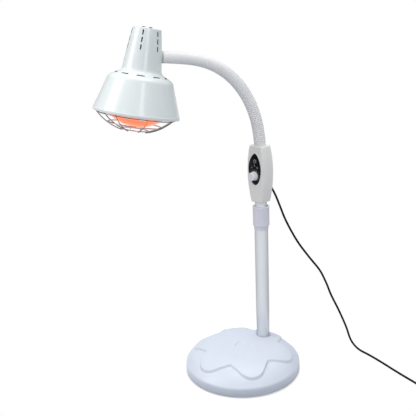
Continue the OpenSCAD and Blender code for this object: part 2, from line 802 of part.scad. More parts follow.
// Frame of the neck's end as the shade sees it, +Z into the cone
module at_entry() {
    translate([cone_r(entry_h), 0, entry_h]) rotate([0, -90 - shade_lean, 0]) rotate([0, 0, 180]) children();
}

shade_profile = concat(
    [[0, shade_h]],
    round_corner([0, shade_h], [top_r, shade_h], cone_point(0), 1.6, 4),
    [for (i = [0:cone_steps]) cone_point(i / cone_steps)],
    round_corner(cone_point(1), cone_foot, shoulder, 9, 6),
    round_corner(cone_foot, shoulder, wall_end, 13, 8),
    [wall_end, [lip_r - 0.3, lip_h - 0.6], [lip_r, lip_h - 1.6],
     [lip_r, 1.4], [lip_r - 0.5, 0.3], [lip_r - 1.6, 0]]);

module shade() {
    color("#DDE0E4") at_head() difference() {
        rotate_extrude($fn = 128) polygon(sheet(shade_profile, -shade_sheet));
        for (k = [1:neck_slots - 1], row = [0:slot_rows - 1])
            rotate([0, 0, slot_turn + k * 360 / neck_slots])
                translate([top_r - 7, 0, shade_h - slot_first - slot_pitch * row]) rotate([0, 90, 0])
                    slot_cutter(9.5, 18);
        for (k = [0:shoulder_slots - 1])
            rotate([0, 0, slot_turn + k * 360 / shoulder_slots])
                translate([shoulder_slot_r, 0, mix(cone_foot.y, shoulder.y, 0.5)])
                    rotate([0, shoulder_lean, 90]) translate([0, 0, -7]) slot_cutter(15, 14);
        at_entry() translate([0, 0, -5]) cylinder(r = pipe_r + 0.08, h = 12);
        rotate([0, 0, bracket_turn]) for (x = [-bracket_screw_r, bracket_screw_r])
            translate([x, 0, shade_h - 5]) cylinder(r = 2, h = 10);
    }
}

// Round-ended slot, long along X, cut along +Z
module slot_cutter(length, depth) {
    run = length - slot_w;
    translate([-run / 2, -slot_w / 2, 0]) cube([run, slot_w, depth]);
    for (x = [-run / 2, run / 2]) translate([x, 0, 0]) cylinder(d = slot_w, h = depth, $fn = 24);
}

module neck_gasket() {
    color("#3B3C3F") at_head() difference() {
        at_entry() translate([0, 0, -gasket_t]) difference() {
            cylinder(r = rib_r - 0.6, h = gasket_t + 5);
            translate([0, 0, -1]) cylinder(r = pipe_r + 0.3, h = 20);
        }
        rotate_extrude($fn = 128)
            polygon(concat([for (i = [0:cone_steps]) cone_point(i / cone_steps)],
                           [[0, cone_foot.y + 12], [0, shade_h - 12]]));
    }
}

module socket_bracket() {
    leg_x = socket_body_r + bracket_t;
    top_z = shade_h - shade_sheet;
    color("#B5B7BB") at_head() rotate([0, 0, bracket_turn]) difference() {
        union() {
            translate([-leg_x, -bracket_w / 2, top_z - bracket_t]) cube([2 * leg_x, bracket_w, bracket_t]);
            for (side = [-1, 1])
                translate([side * (leg_x - bracket_t / 2) - bracket_t / 2, -bracket_w / 2, socket_top - 23])
                    cube([bracket_t, bracket_w, top_z - socket_top + 23]);
        }
        for (x = [-bracket_screw_r, bracket_screw_r]) translate([x, 0, top_z - 5]) cylinder(r = 2, h = 10);
    }
}

module bracket_screws() {
    color("#6F7176") at_head() rotate([0, 0, bracket_turn])
        for (x = [-bracket_screw_r, bracket_screw_r]) translate([x, 0, 0]) {
            translate([0, 0, shade_h]) cylinder(r = 3.4, h = 2.6);
            translate([0, 0, shade_h - 7]) cylinder(r = 2, h = 7.5);
        }
}

module lamp_socket() {
    color("#F1EFE9") at_head() difference() {
        rotate_extrude()
            polygon([[cap_r + 0.3, cap_foot + 2], [socket_body_r - 2, cap_foot + 2],
                     [socket_body_r, cap_foot + 5],
                     [socket_body_r, socket_top - 3], [socket_body_r - 4, socket_top], [3, socket_top],
                     [3, cap_top + 9], [cap_r + 0.3, cap_top + 9]]);
    }
}

module socket_contact() {
    color("#C8A24A") at_head() {
        translate([0, 0, cap_top + 5.3]) cylinder(r = 4, h = 1.2);
        translate([0, 0, cap_top + 6.5]) cylinder(r = 2.5, h = 12);
    }
}

module bulb_cap() {
    turns = 6;
    pitch = 3.6;
    color("#C9B37A") at_head() rotate_extrude()
        polygon(concat([[0, cap_foot], [cap_r - 0.6, cap_foot]],
                       [for (i = [0:turns - 1]) let (z = cap_foot + 1.5 + i * pitch)
                           each [[cap_r - 0.9, z], [cap_r, z + 1], [cap_r, z + 2], [cap_r - 0.9, z + 3]]],
                       [[cap_r - 2, cap_top], [5, cap_top + 4], [5, cap_top + 5], [0, cap_top + 5]]));
}

// Reflector glass: a belt at the rim and a bowl that narrows to the cap
module bulb_reflector() {
    bowl_h = cap_foot - bulb_belt_h;
    bowl = [for (i = [0:10]) let (t = i / 10)
        [mix(bulb_neck_r, bulb_d / 2, pow(1 - pow(t, 1.5), 0.8)), bulb_belt_h + bowl_h * t]];
    color("#E58A63") at_head() rotate_extrude()
        polygon(concat([[bulb_d / 2 - glass_t, bulb_rim_h], [bulb_d / 2, bulb_rim_h]], bowl,
                       [[0, cap_foot], [0, cap_foot - 3]],
                       [for (i = [9:-1:0]) [max(bowl[i].x - glass_t, 1), bowl[i].y - (i > 6 ? 1 : 0)]]));
}

module bulb_face() {
    lens = arc([0, bulb_face_r - bulb_drop], bulb_face_r, -90 + asin(bulb_d / 2 / bulb_face_r), -90, 10);
    color("#FF8A5C") at_head() rotate_extrude()
        polygon(concat([[0, glass_t - bulb_drop], [bulb_d / 2 - glass_t, bulb_rim_h]], lens));
}

// Guard: welded rings with spokes that curve over them and hook under the lip
module wire_guard() {
    middle_h = guard_dome_r - guard_drop;
    inner = asin(guard_rings[0] / guard_dome_r) - 1;
    edge = asin(guard_r / guard_dome_r);
    color("#8F8A8B") at_head() {
        for (r = guard_rings)
            translate([0, 0, middle_h - sqrt(pow(guard_dome_r, 2) - pow(r, 2)) + guard_wire_d - 0.5])
                wire_ring(r, 360);
        translate([0, 0, guard_edge_h]) wire_ring(guard_r, 360);
        for (k = [0:guard_spokes - 1])
            rotate([0, 0, slot_turn + k * 360 / guard_spokes]) translate([0, 0, middle_h]) rotate([90, 0, 0])
                rotate([0, 0, inner - 90]) wire_ring(guard_dome_r, edge - inner);
    }
}

// Wire bent to a circle of radius r, or to part of one
module wire_ring(r, angle) {
    rotate_extrude(angle = angle, $fn = 60) translate([r, 0]) circle(d = guard_wire_d, $fn = 9);
}

// ---------------------------------------------------------------- cord

module relief_axis() {
    translate(relief_root) rotate([0, acos(relief_dir.z), atan2(relief_dir.y, relief_dir.x)]) children();
}

// Tapered strain relief with a retaining flange inside the rear shell
module cord_relief() {
    color("#1A1A1C") relief_axis() difference() {
        rotate_extrude($fn = 48)
            polygon([[0, -2], [4.1, -2], [4.1, 6], [cord_d / 2 + 0.7, relief_len], [0, relief_len]]);
    }
}

module power_cord() {
    path = curve_through(cord_points, cord_ring_step);
    color("#151517") tube_along(path, cord_d / 2, cord_sides, relief_dir, coil_run_flat);
}

coil_run_flat = [cos(coil_heading), sin(coil_heading), 0];

// Point of the coil u turns from its start: a layer wound inwards, a climb and a layer wound outwards
function coil_point(u) =
    let (climb = u - coil_layer_turns,
         t = min(max(climb / 0.5, 0), 1),
         inward = u < coil_layer_turns ? u : climb < 0.5 ? coil_layer_turns : 2 * coil_layer_turns + 0.5 - u,
         r = coil_out_r - coil_pitch * inward
             - coil_dip * sin(180 * t),
         a = coil_heading - 90 + 360 * u)
    [coil_axis.x + r * cos(a), coil_axis.y + r * sin(a), coil_start.z + coil_layer_step * smooth(t)];
coil_loops = [for (i = [0:round(coil_turns * coil_rings)]) coil_point(i / coil_rings)];
coil_exit_a = coil_heading + 360 * coil_turns;
coil_exit_run = [cos(coil_exit_a), sin(coil_exit_a), 0];
coil_path = concat([coil_start], [for (p = coil_loops) p + coil_lead * coil_run_flat],
                   [coil_loops[len(coil_loops) - 1] + coil_lead * coil_run_flat + coil_lead * coil_exit_run]);
coil_end = coil_path[len(coil_path) - 1];
coil_gap = min([for (i = [0:len(coil_path) - 1], j = [i + coil_rings / 2:1:len(coil_path) - 1])
                norm(coil_path[i] - coil_path[j])]) - cord_d;
echo(least_gap_in_coil = coil_gap);

module cord_coil() {
    color("#151517") tube_along(coil_path, cord_d / 2, coil_sides, coil_run_flat, coil_exit_run);
}

module coil_tie() {
    bundle_mid = coil_d / 2;
    bundle_w = coil_pitch * coil_layer_turns + cord_d + 2 * coil_pitch * 0.6;
    low = coil_start.z - cord_d / 2 - tie_t - 0.1;
    high = coil_start.z + coil_layer_step + cord_d / 2 + tie_t + gap;
    color("#232326") translate([coil_axis.x, coil_axis.y, 0] + coil_lead * coil_run_flat)
        rotate([0, 0, tie_angle])
        translate([bundle_mid, 0, 0]) difference() {
            translate([-bundle_w / 2 - tie_t, -tie_w / 2, low])
                cube([bundle_w + 2 * tie_t, tie_w, high - low]);
            translate([-bundle_w / 2, -tie_w, low + tie_t])
                cube([bundle_w, 2 * tie_w, high - low - 2 * tie_t]);
        }
}

module at_plug() translate(coil_end) rotate([0, 0, coil_exit_a]) children();

module plug_body() {
    color("#1C1C1F") at_plug() difference() {
        union() {
            rotate([0, 90, 0]) cylinder(r1 = cord_d / 2 + 0.6, r2 = cord_d / 2 + 2.6, h = plug_neck + 3);
            translate([0, 0, -coil_end.z]) linear_extrude(plug_t)
                translate([plug_neck, 0])
                    polygon([[0, -7], [8, -plug_w / 2], [plug_len - 3, -plug_w / 2],
                             [plug_len, -plug_w / 2 + 3],
                             [plug_len, plug_w / 2 - 3], [plug_len - 3, plug_w / 2],
                             [8, plug_w / 2], [0, 7]]);
        }
    }
}

module plug_pins() {
    color("#C4C6CA") at_plug() for (y = [-pin_spacing / 2, pin_spacing / 2])
        translate([plug_neck + plug_len, y, plug_t / 2 - coil_end.z]) rotate([0, 90, 0]) {
            cylinder(r = pin_r, h = pin_len - 1, $fn = 32);
            translate([0, 0, pin_len - 1]) cylinder(r1 = pin_r, r2 = pin_r - 0.8, h = 1, $fn = 32);
        }
}

base_housing();
base_weight();
base_bottom_cover();
base_foot_pad();
base_screws();
pole_foot_ring();
pole_plug();
pole_bolt();
outer_tube();
tube_ferrule();
collet();
clamp_collar();
guide_bush();
tube_end_plug();
inner_tube();
box_front_shell();
box_rear_shell();
box_screws();
control_panel();
dimmer_knob();
potentiometer();
circuit_board();
terminal_block();
neck_foot_fitting();
neck_foot_nut();
neck_link(1);  // neck_link_01
neck_link(2);  // neck_link_02
neck_link(3);  // neck_link_03
neck_link(4);  // neck_link_04
neck_link(5);  // neck_link_05
neck_link(6);  // neck_link_06
neck_link(7);  // neck_link_07
neck_link(8);  // neck_link_08
neck_link(9);  // neck_link_09
neck_link(10);  // neck_link_10
neck_link(11);  // neck_link_11
neck_link(12);  // neck_link_12
neck_end_fitting();
neck_end_nut();
neck_gasket();
shade();
socket_bracket();
bracket_screws();
lamp_socket();
socket_contact();
bulb_cap();
bulb_reflector();
bulb_face();
wire_guard();
cord_relief();
power_cord();
cord_coil();
coil_tie();
plug_body();
plug_pins();
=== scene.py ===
"""Infrared heat therapy lamp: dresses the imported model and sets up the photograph's view.

Lengths in the classes are millimetres, as in the part's source; meshes are built in metres.
"""

from __future__ import annotations

import json
import logging
import math
from dataclasses import dataclass, field
from enum import Enum
from typing import Any, Iterable, Sequence

import bmesh
import bpy
from mathutils import Matrix, Vector

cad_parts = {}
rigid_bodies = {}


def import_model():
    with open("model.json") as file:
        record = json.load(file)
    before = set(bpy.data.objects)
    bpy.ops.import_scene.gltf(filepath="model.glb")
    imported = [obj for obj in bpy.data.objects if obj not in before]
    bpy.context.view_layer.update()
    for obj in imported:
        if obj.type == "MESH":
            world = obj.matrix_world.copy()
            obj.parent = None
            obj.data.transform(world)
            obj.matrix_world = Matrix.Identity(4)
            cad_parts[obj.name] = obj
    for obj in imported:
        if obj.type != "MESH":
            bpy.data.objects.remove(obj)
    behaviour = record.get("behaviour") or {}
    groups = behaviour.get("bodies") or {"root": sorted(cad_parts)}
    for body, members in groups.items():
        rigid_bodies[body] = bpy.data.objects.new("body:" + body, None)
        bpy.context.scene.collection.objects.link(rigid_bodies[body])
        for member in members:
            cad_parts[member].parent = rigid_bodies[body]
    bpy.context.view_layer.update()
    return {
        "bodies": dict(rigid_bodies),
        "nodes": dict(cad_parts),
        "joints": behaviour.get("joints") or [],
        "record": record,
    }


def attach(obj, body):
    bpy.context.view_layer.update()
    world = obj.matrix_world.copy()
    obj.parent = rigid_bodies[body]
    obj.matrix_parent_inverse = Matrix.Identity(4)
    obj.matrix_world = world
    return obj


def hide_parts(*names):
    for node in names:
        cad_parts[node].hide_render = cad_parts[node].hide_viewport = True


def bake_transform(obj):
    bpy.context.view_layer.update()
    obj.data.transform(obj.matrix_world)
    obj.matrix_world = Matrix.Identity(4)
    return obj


log = logging.getLogger("heat_lamp")

MM = 0.001
# Painted shade: dark grey mixed into finishes where the surface turns away from the eye, darkening their
# edges
PAINTED_EDGE_SHADE_COLOUR = "#3C4048"
Point2 = tuple[float, float]
ProfilePoint = tuple[float, ...]


# ------------------------------------------------------------------ colour and nodes


def hex_colour(value: str) -> tuple[float, float, float, float]:
    """Turns an sRGB hex colour to the linear colour that shaders take.

    Args:
        value: Six hex digits after a hash.

    Returns:
        Linear red, green and blue, and an alpha of 1.
    """
    digits = value.lstrip("#")
    channels = [int(digits[i : i + 2], 16) / 255 for i in (0, 2, 4)]
    linear = [c / 12.92 if c <= 0.04045 else ((c + 0.055) / 1.055) ** 2.4 for c in channels]
    return (linear[0], linear[1], linear[2], 1.0)


def add_node(
    tree: bpy.types.NodeTree, kind: str, inputs: dict[Any, Any] | None = None, **settings: Any
) -> bpy.types.Node:
    """Adds a shader node, sets it and links it.

    Args:
        tree: Node tree that the node goes into.
        kind: Node type name.
        inputs: Input name or index to a value, or to an output socket to link from.
        settings: Attributes of the node.

    Returns:
        The new node.
    """
    node = tree.nodes.new(kind)
    for key, value in settings.items():
        setattr(node, key, value)
    for key, value in (inputs or {}).items():
        if isinstance(value, bpy.types.NodeSocket):
            tree.links.new(value, node.inputs[key])
        else:
            node.inputs[key].default_value = value
    return node


class Surface(Enum):
    """How a surface was made, which sets its fine relief."""

    SPARK_ERODED = "spark eroded mould"
    POLISHED = "polished mould"
    SPRAYED = "sprayed and baked"
    DRAWN = "drawn tube or wire"
    CAST = "sand cast"
    EXTRUDED = "extruded jacket"
    FIRED = "glazed and fired"


@dataclass(frozen=True)
class Finish:
    """A material named for what it is made of and how.

    Attributes:
        name: Name of the finish.
        colour: Main colour, sRGB hex.
        shade: Colour of the slight clouding over it, sRGB hex.
        surface: How the surface was made.
        grain: Size of the fine relief in millimetres.
        relief: Depth of the fine relief in millimetres.
        roughness: Mean roughness.
        roughness_span: How far roughness wanders from place to place.
        metallic: 1 for bare metal.
        ior: Index of refraction of a non-metal.
        coat: Weight of a clear coat.
        glow: Strength of light let through, 0 for none.
        painted_edge_shade: Painted shade: how far the colour is mixed toward a dark grey where the surface
            turns away from the eye, from 0 to 1.
    """

    name: str
    colour: str
    shade: str
    surface: Surface
    grain: float = 0.6
    relief: float = 0.02
    roughness: float = 0.4
    roughness_span: float = 0.06
    metallic: float = 0.0
    ior: float = 1.5
    coat: float = 0.0
    glow: float = 0.0
    painted_edge_shade: float = 0.0

    def material(self) -> bpy.types.Material:
        """Builds the finish as a material, or returns the one built before.

        Returns:
            The material, with its nodes and links set.
        """
        made = bpy.data.materials.get(self.name)
        if made is not None:
            return made
        made = bpy.data.materials.new(self.name)
        made.use_nodes = True
        tree = made.node_tree
        tree.nodes.clear()
        place = add_node(tree, "ShaderNodeTexCoord").outputs["Object"]
        clouds = add_node(
            tree, "ShaderNodeTexNoise", {"Vector": place, "Scale": 38.0, "Detail": 3.0, "Roughness": 0.55}
        ).outputs["Fac"]
        tint = add_node(
            tree,
            "ShaderNodeMix",
            {"Factor": clouds, 6: hex_colour(self.shade), 7: hex_colour(self.colour)},
            data_type="RGBA",
        ).outputs[2]
        # Painted shade: the colour is darkened toward the edge colour where the surface turns away from the
        # eye
        if self.painted_edge_shade:
            facing = add_node(tree, "ShaderNodeLayerWeight", {"Blend": 0.4}).outputs["Facing"]
            turned = add_node(
                tree, "ShaderNodeMath", {0: facing, 1: self.painted_edge_shade}, operation="MULTIPLY"
            ).outputs[0]
            tint = add_node(
                tree,
                "ShaderNodeMix",
                {"Factor": turned, 6: tint, 7: hex_colour(PAINTED_EDGE_SHADE_COLOUR)},
                data_type="RGBA",
            ).outputs[2]
        rough = add_node(
            tree,
            "ShaderNodeMapRange",
            {
                "Value": clouds,
                "From Min": 0.3,
                "From Max": 0.7,
                "To Min": self.roughness - self.roughness_span,
                "To Max": self.roughness + self.roughness_span,
            },
        ).outputs[0]
        bump = add_node(
            tree,
            "ShaderNodeBump",
            {"Height": self._relief_height(tree, place), "Distance": self.relief * MM, "Strength": 1.0},
        ).outputs[0]
        shader = add_node(
            tree,
            "ShaderNodeBsdfPrincipled",
            {"Base Color": tint, "Roughness": rough, "Normal": bump, "Metallic": self.metallic},
        )
        if self.metallic < 1:
            shader.inputs["IOR"].default_value = self.ior
        if self.coat:
            shader.inputs["Coat Weight"].default_value = self.coat
            shader.inputs["Coat Roughness"].default_value = 0.08
        if self.glow:
            shader.inputs["Emission Color"].default_value = hex_colour(self.colour)
            shader.inputs["Emission Strength"].default_value = self.glow
        add_node(tree, "ShaderNodeOutputMaterial", {"Surface": shader.outputs[0]})
        return made

    def _relief_height(self, tree: bpy.types.NodeTree, place: bpy.types.NodeSocket) -> bpy.types.NodeSocket:
        """Makes the height of the fine relief.

        Args:
            tree: Node tree of the material.
            place: Object coordinates.

        Returns:
            Socket with the height, from 0 to 1.
        """
        scale = 1 / (self.grain * MM)
        if self.surface is Surface.DRAWN:
            # Draw marks run along the tube: stretched some forty times along it
            drawn = add_node(
                tree, "ShaderNodeMapping", {"Vector": place, "Scale": (1.0, 1.0, 0.025)}
            ).outputs[0]
            return add_node(
                tree, "ShaderNodeTexNoise", {"Vector": drawn, "Scale": scale, "Detail": 2.0}
            ).outputs["Fac"]
        if self.surface is Surface.CAST:
            cells = add_node(
                tree, "ShaderNodeTexVoronoi", {"Vector": place, "Scale": scale}, feature="SMOOTH_F1"
            ).outputs["Distance"]
            return cells
        detail = {Surface.SPRAYED: 0.5, Surface.POLISHED: 0.0, Surface.FIRED: 1.0}.get(self.surface, 4.0)
        return add_node(
            tree, "ShaderNodeTexNoise", {"Vector": place, "Scale": scale, "Detail": detail}
        ).outputs["Fac"]


class Finishes:
    """Every finish on the lamp, by the record's material slot."""

    # Injection-moulded ABS: reads as cool blue-white plastic with a soft, even sheen
    housing = Finish(
        "moulded_abs_cool_white", "#D5DCE8", "#CED5E2", Surface.SPARK_ERODED,
        grain=0.9, relief=0.004, roughness=0.38, roughness_span=0.05,
    )
    # The same resin in a warmer, greyer batch: a finer, duller texture sets the box off from the tube
    box = Finish(
        "moulded_abs_warm_grey", "#F4F3F0", "#E8E7E3", Surface.SPARK_ERODED,
        grain=0.7, relief=0.012, roughness=0.42, roughness_span=0.05,
    )
    # Polypropylene: a little waxy and faintly violet, so the collar reads apart from the pole; painted shade
    # darkens its edges
    collar = Finish(
        "moulded_polypropylene_grey", "#EBEAF5", "#E3E2EE", Surface.SPARK_ERODED,
        grain=0.8, relief=0.005, roughness=0.36, roughness_span=0.05, painted_edge_shade=0.25,
    )
    # Same resin, darker batch: a thin lilac-grey line where the pole meets the base
    ring = Finish(
        "moulded_polypropylene_dark", "#BDBDCF", "#B3B3C6", Surface.SPARK_ERODED,
        grain=0.8, relief=0.005, roughness=0.4, roughness_span=0.05,
    )
    # Acetal bush and collet: milky and slippery, seen only down the ferrule
    bush = Finish(
        "machined_acetal_natural", "#ECECE6", "#E4E4DC", Surface.POLISHED,
        grain=1.4, relief=0.003, roughness=0.35, roughness_span=0.04,
    )
    # Soft PVC sleeve: matt and milky, so the ribs stay gentle; faint painted shade along its edges
    sleeve = Finish(
        "soft_pvc_sleeve_white", "#F3F2F2", "#EEEDEE", Surface.EXTRUDED,
        grain=1.6, relief=0.003, roughness=0.48, roughness_span=0.04, painted_edge_shade=0.14,
    )
    # Lacquered steel tube: pale silver, with painted shade darkening both edges so it looks brighter down its
    # middle
    tube = Finish(
        "lacquered_steel_tube", "#F0F4F8", "#EAEEF3", Surface.DRAWN,
        grain=1.2, relief=0.0004, roughness=0.34, roughness_span=0.03, metallic=0.4, painted_edge_shade=0.85,
    )
    # Baked white enamel on spun steel: a faint orange peel breaks up the streak of light down the cone; faint
    # painted shade at its edges
    enamel = Finish(
        "baked_enamel_cool_white", "#E6ECEC", "#E2E9E9", Surface.SPRAYED,
        grain=2.6, relief=0.005, roughness=0.3, roughness_span=0.015, coat=0.3, painted_edge_shade=0.12,
    )
    # Gloss ABS knob: the whitest spot on the dark panel
    knob = Finish(
        "moulded_abs_gloss_white", "#F2F2F4", "#EBEBEE", Surface.POLISHED,
        grain=2.5, relief=0.004, roughness=0.22, roughness_span=0.03,
    )
    # Gloss black ABS behind the knob: nearly black, with one soft highlight
    panel = Finish(
        "moulded_abs_gloss_black", "#040405", "#060607", Surface.POLISHED,
        grain=2.5, relief=0.004, roughness=0.16, roughness_span=0.03, ior=1.19,
    )
    # Pad-printed ink: flat grey marks that don't shine with the panel
    print_ink = Finish(
        "printed_ink_grey", "#B4B6BA", "#A8AAAE", Surface.SPRAYED,
        grain=0.6, relief=0.002, roughness=0.65, roughness_span=0.04,
    )
    # Board laminate under solder mask: deep green with a wet look
    board = Finish(
        "solder_mask_green", "#2F6B45", "#2A603E", Surface.SPRAYED,
        grain=0.8, relief=0.008, roughness=0.35, roughness_span=0.05,
    )
    # Cast iron under black primer: coarse sand grain, dull
    iron = Finish(
        "cast_iron_primed", "#54565A", "#4A4C50", Surface.CAST,
        grain=1.6, relief=0.12, roughness=0.7, roughness_span=0.06, metallic=0.3,
    )
    # Zinc-plated steel: bright with a grey bloom
    plated = Finish(
        "zinc_plated_steel", "#B3B5B9", "#A4A6AB", Surface.DRAWN,
        grain=0.3, relief=0.002, roughness=0.32, roughness_span=0.06, metallic=1.0,
    )
    # Chromed wire: mirrors the white room above and the red glass beside it
    wire = Finish(
        "chromed_wire", "#C4BEC0", "#AFA9AB", Surface.DRAWN,
        grain=0.4, relief=0.001, roughness=0.2, roughness_span=0.05, metallic=1.0,
    )
    # Stamped brass: warm, slightly dulled
    brass = Finish(
        "stamped_brass", "#C8AC64", "#B89A55", Surface.DRAWN,
        grain=0.4, relief=0.003, roughness=0.3, roughness_span=0.05, metallic=1.0,
    )
    # Steatite body with a clear glaze: ivory, with a soft gloss
    ceramic = Finish(
        "glazed_ceramic_ivory", "#F1EFE8", "#E9E6DC", Surface.FIRED,
        grain=1.8, relief=0.01, roughness=0.18, roughness_span=0.04, coat=0.3,
    )
    # Glass lacquered from inside: saturated orange-red that lets some light through
    bulb = Finish(
        "lacquered_infrared_glass", "#FF7A44", "#F8692F", Surface.POLISHED,
        grain=6.0, relief=0.02, roughness=0.3, roughness_span=0.04, ior=1.4, glow=0.85,
    )
    # Aluminised inside of the glass bowl: a grey mirror, darkened as painted shade so it stays dark when seen
    # through the vents
    mirror = Finish(
        "aluminised_glass_painted_shade", "#82807F", "#747271", Surface.POLISHED,
        grain=6.0, relief=0.01, roughness=0.3, roughness_span=0.05, metallic=1.0,
    )
    # Inner wall of the shade and the walls of its vents, dark grey metal as painted shade: it keeps the vents
    # dark
    bare = Finish(
        "dark_inner_wall_painted_shade", "#3F3D3C", "#353332", Surface.DRAWN,
        grain=0.8, relief=0.004, roughness=0.45, roughness_span=0.08, metallic=0.8,
    )
    # Blackened screw: two small dark dots on top of the white shade
    blackened = Finish(
        "blackened_steel", "#6A6562", "#5A5552", Surface.DRAWN,
        grain=0.3, relief=0.002, roughness=0.4, roughness_span=0.06, metallic=0.7,
    )
    # Silicone seal: pale and matt, so the neck seems to run straight into the shade
    seal = Finish(
        "moulded_silicone_pale", "#BFC1C4", "#B5B7BA", Surface.SPARK_ERODED,
        grain=0.8, relief=0.006, roughness=0.6, roughness_span=0.04,
    )
    # Nitrile rubber: matt and nearly black
    rubber = Finish(
        "moulded_nitrile_black", "#303134", "#292A2D", Surface.SPARK_ERODED,
        grain=0.8, relief=0.01, roughness=0.7, roughness_span=0.05,
    )
    # PVC jacket on the cord and its plug: black with a thin satin line of light
    jacket = Finish(
        "pvc_jacket_black", "#040405", "#070708", Surface.EXTRUDED,
        grain=0.8, relief=0.006, roughness=0.45, roughness_span=0.06, ior=1.22,
    )

    by_slot: dict[str, Finish] = {
        "white_plastic": housing,
        "box_plastic": box,
        "collar_plastic": collar,
        "bush_plastic": bush,
        "neck_sleeve": sleeve,
        "silver_tube": tube,
        "shade_enamel": enamel,
        "knob_plastic": knob,
        "black_panel": panel,
        "board_green": board,
        "cast_iron": iron,
        "plated_steel": plated,
        "guard_chrome": wire,
        "brass": brass,
        "socket_ceramic": ceramic,
        "bulb_glass": bulb,
        "bulb_mirror": mirror,
        "black_rubber": rubber,
        "cord_rubber": jacket,
    }
    by_node: dict[str, Finish] = {"neck_gasket": seal}


# ------------------------------------------------------------------ mesh helpers


def fillet(points: Sequence[ProfilePoint], steps: int = 5) -> list[Point2]:
    """Rounds the corners of an outline.

    Args:
        points: Radius and height of each corner, and a third number where it is rounded.
        steps: Segments in each rounding.

    Returns:
        The outline with arcs in place of the rounded corners.
    """
    out: list[Point2] = []
    for i, point in enumerate(points):
        if len(point) < 3 or i in (0, len(points) - 1):
            out.append((point[0], point[1]))
            continue
        here = Vector(point[:2])
        before = (Vector(points[i - 1][:2]) - here).normalized()
        after = (Vector(points[i + 1][:2]) - here).normalized()
        half = before.angle(after) / 2
        middle = here + (before + after).normalized() * point[2] / math.sin(half)
        first = here + before * point[2] / math.tan(half) - middle
        last = here + after * point[2] / math.tan(half) - middle
        for k in range(steps + 1):
            spoke = first.lerp(last, k / steps).normalized() * point[2]
            out.append(tuple(middle + spoke))
    return out


def lathe(outline: Sequence[Point2], steps: int = 96, angle: float = 2 * math.pi) -> bmesh.types.BMesh:
    """Spins an outline about the Z axis.

    Args:
        outline: Radius and height of each point, in millimetres. It is closed unless both ends
            are on the axis.
        steps: Segments round the axis.
        angle: Angle to spin through.

    Returns:
        The spun mesh, in metres.
    """
    bm = bmesh.new()
    verts = [bm.verts.new((r * MM, 0, z * MM)) for r, z in outline]
    edges = [bm.edges.new(pair) for pair in zip(verts, verts[1:])]
    if not (outline[0][0] == 0 and outline[-1][0] == 0):
        edges.append(bm.edges.new((verts[-1], verts[0])))
    bmesh.ops.spin(
        bm,
        geom=verts + edges,
        cent=(0, 0, 0),
        axis=(0, 0, 1),
        angle=angle,
        steps=steps,
        use_merge=angle >= 2 * math.pi,
        use_duplicate=False,
    )
    bmesh.ops.remove_doubles(bm, verts=bm.verts, dist=1e-6)
    return bm


def soften(bm: bmesh.types.BMesh, edges: list[bmesh.types.BMEdge], width: float, segments: int) -> None:
    """Bevels edges of a mesh.

    Args:
        bm: The mesh, changed in place.
        edges: Its edges to bevel.
        width: Width of the bevel in millimetres.
        segments: Segments in the bevel.
    """
    bmesh.ops.bevel(
        bm, geom=edges, offset=width * MM, segments=segments, affect="EDGES", profile=0.5, material=-1
    )


def box_solid(
    size: Sequence[float], centre: Sequence[float], bevel: float = 0.0, segments: int = 2
) -> bmesh.types.BMesh:
    """Makes a block with bevelled edges.

    Args:
        size: Lengths along X, Y and Z in millimetres.
        centre: Middle of the block in millimetres.
        bevel: Width of the bevel in millimetres.
        segments: Segments in the bevel.

    Returns:
        The block, in metres.
    """
    bm = bmesh.new()
    bmesh.ops.create_cube(bm, size=1.0)
    bmesh.ops.scale(bm, vec=Vector(size) * MM, verts=bm.verts)
    bmesh.ops.translate(bm, vec=Vector(centre) * MM, verts=bm.verts)
    if bevel:
        soften(bm, bm.edges[:], bevel, segments)
    return bm


def prism(outline: Iterable[Point2], foot: float, rise: float) -> bmesh.types.BMesh:
    """Draws a flat outline up into a closed block.

    Args:
        outline: X and Y of each corner, in millimetres.
        foot: Height of the flat outline in millimetres.
        rise: Height of the block in millimetres.

    Returns:
        The block, in metres.
    """
    bm = bmesh.new()
    face = bm.faces.new([bm.verts.new(Vector((x, y, foot)) * MM) for x, y in outline])
    made = bmesh.ops.extrude_face_region(bm, geom=[face])["geom"]
    lifted = [g for g in made if isinstance(g, bmesh.types.BMVert)]
    bmesh.ops.translate(bm, vec=(0, 0, rise * MM), verts=lifted)
    return bm


def torus(radius: float, wire: float, around: int = 96, across: int = 12) -> bmesh.types.BMesh:
    """Makes a ring of round wire about Z, in millimetres, as a mesh in metres.

    Args:
        radius: Radius of the ring's middle line in millimetres.
        wire: Radius of the wire.
        around: Number of steps round the ring.
        across: Number of steps round the wire.

    Returns:
        The ring, lying flat about the origin.
    """
    circle = [
        (radius + wire * math.cos(2 * math.pi * k / across), wire * math.sin(2 * math.pi * k / across))
        for k in range(across)
    ]
    return lathe(circle, around)


def join(parts: Iterable[bmesh.types.BMesh]) -> bmesh.types.BMesh:
    """Joins several meshes into one and frees them.

    Args:
        parts: The meshes to merge, each freed once it has been read.

    Returns:
        One mesh with all of them.
    """
    out = bmesh.new()
    for part in parts:
        mesh = bpy.data.meshes.new("join")
        part.to_mesh(mesh)
        part.free()
        out.from_mesh(mesh)
        bpy.data.meshes.remove(mesh)
    return out


def placed(bm: bmesh.types.BMesh, matrix: Matrix) -> bmesh.types.BMesh:
    """Moves a mesh by a matrix and returns it."""
    bmesh.ops.transform(bm, matrix=matrix, verts=bm.verts)
    return bm


def move_mm(x: float, y: float, z: float) -> Matrix:
    """A shift given in millimetres."""
    return Matrix.Translation(Vector((x, y, z)) * MM)


def turn(degrees: float, axis: str) -> Matrix:
    """A turn about one axis in degrees."""
    return Matrix.Rotation(math.radians(degrees), 4, axis)


def smooth_step(t: float) -> float:
    """Smooth rise from 0 to 1 over the unit range, clamped."""
    t = min(max(t, 0.0), 1.0)
    return t * t * (3 - 2 * t)


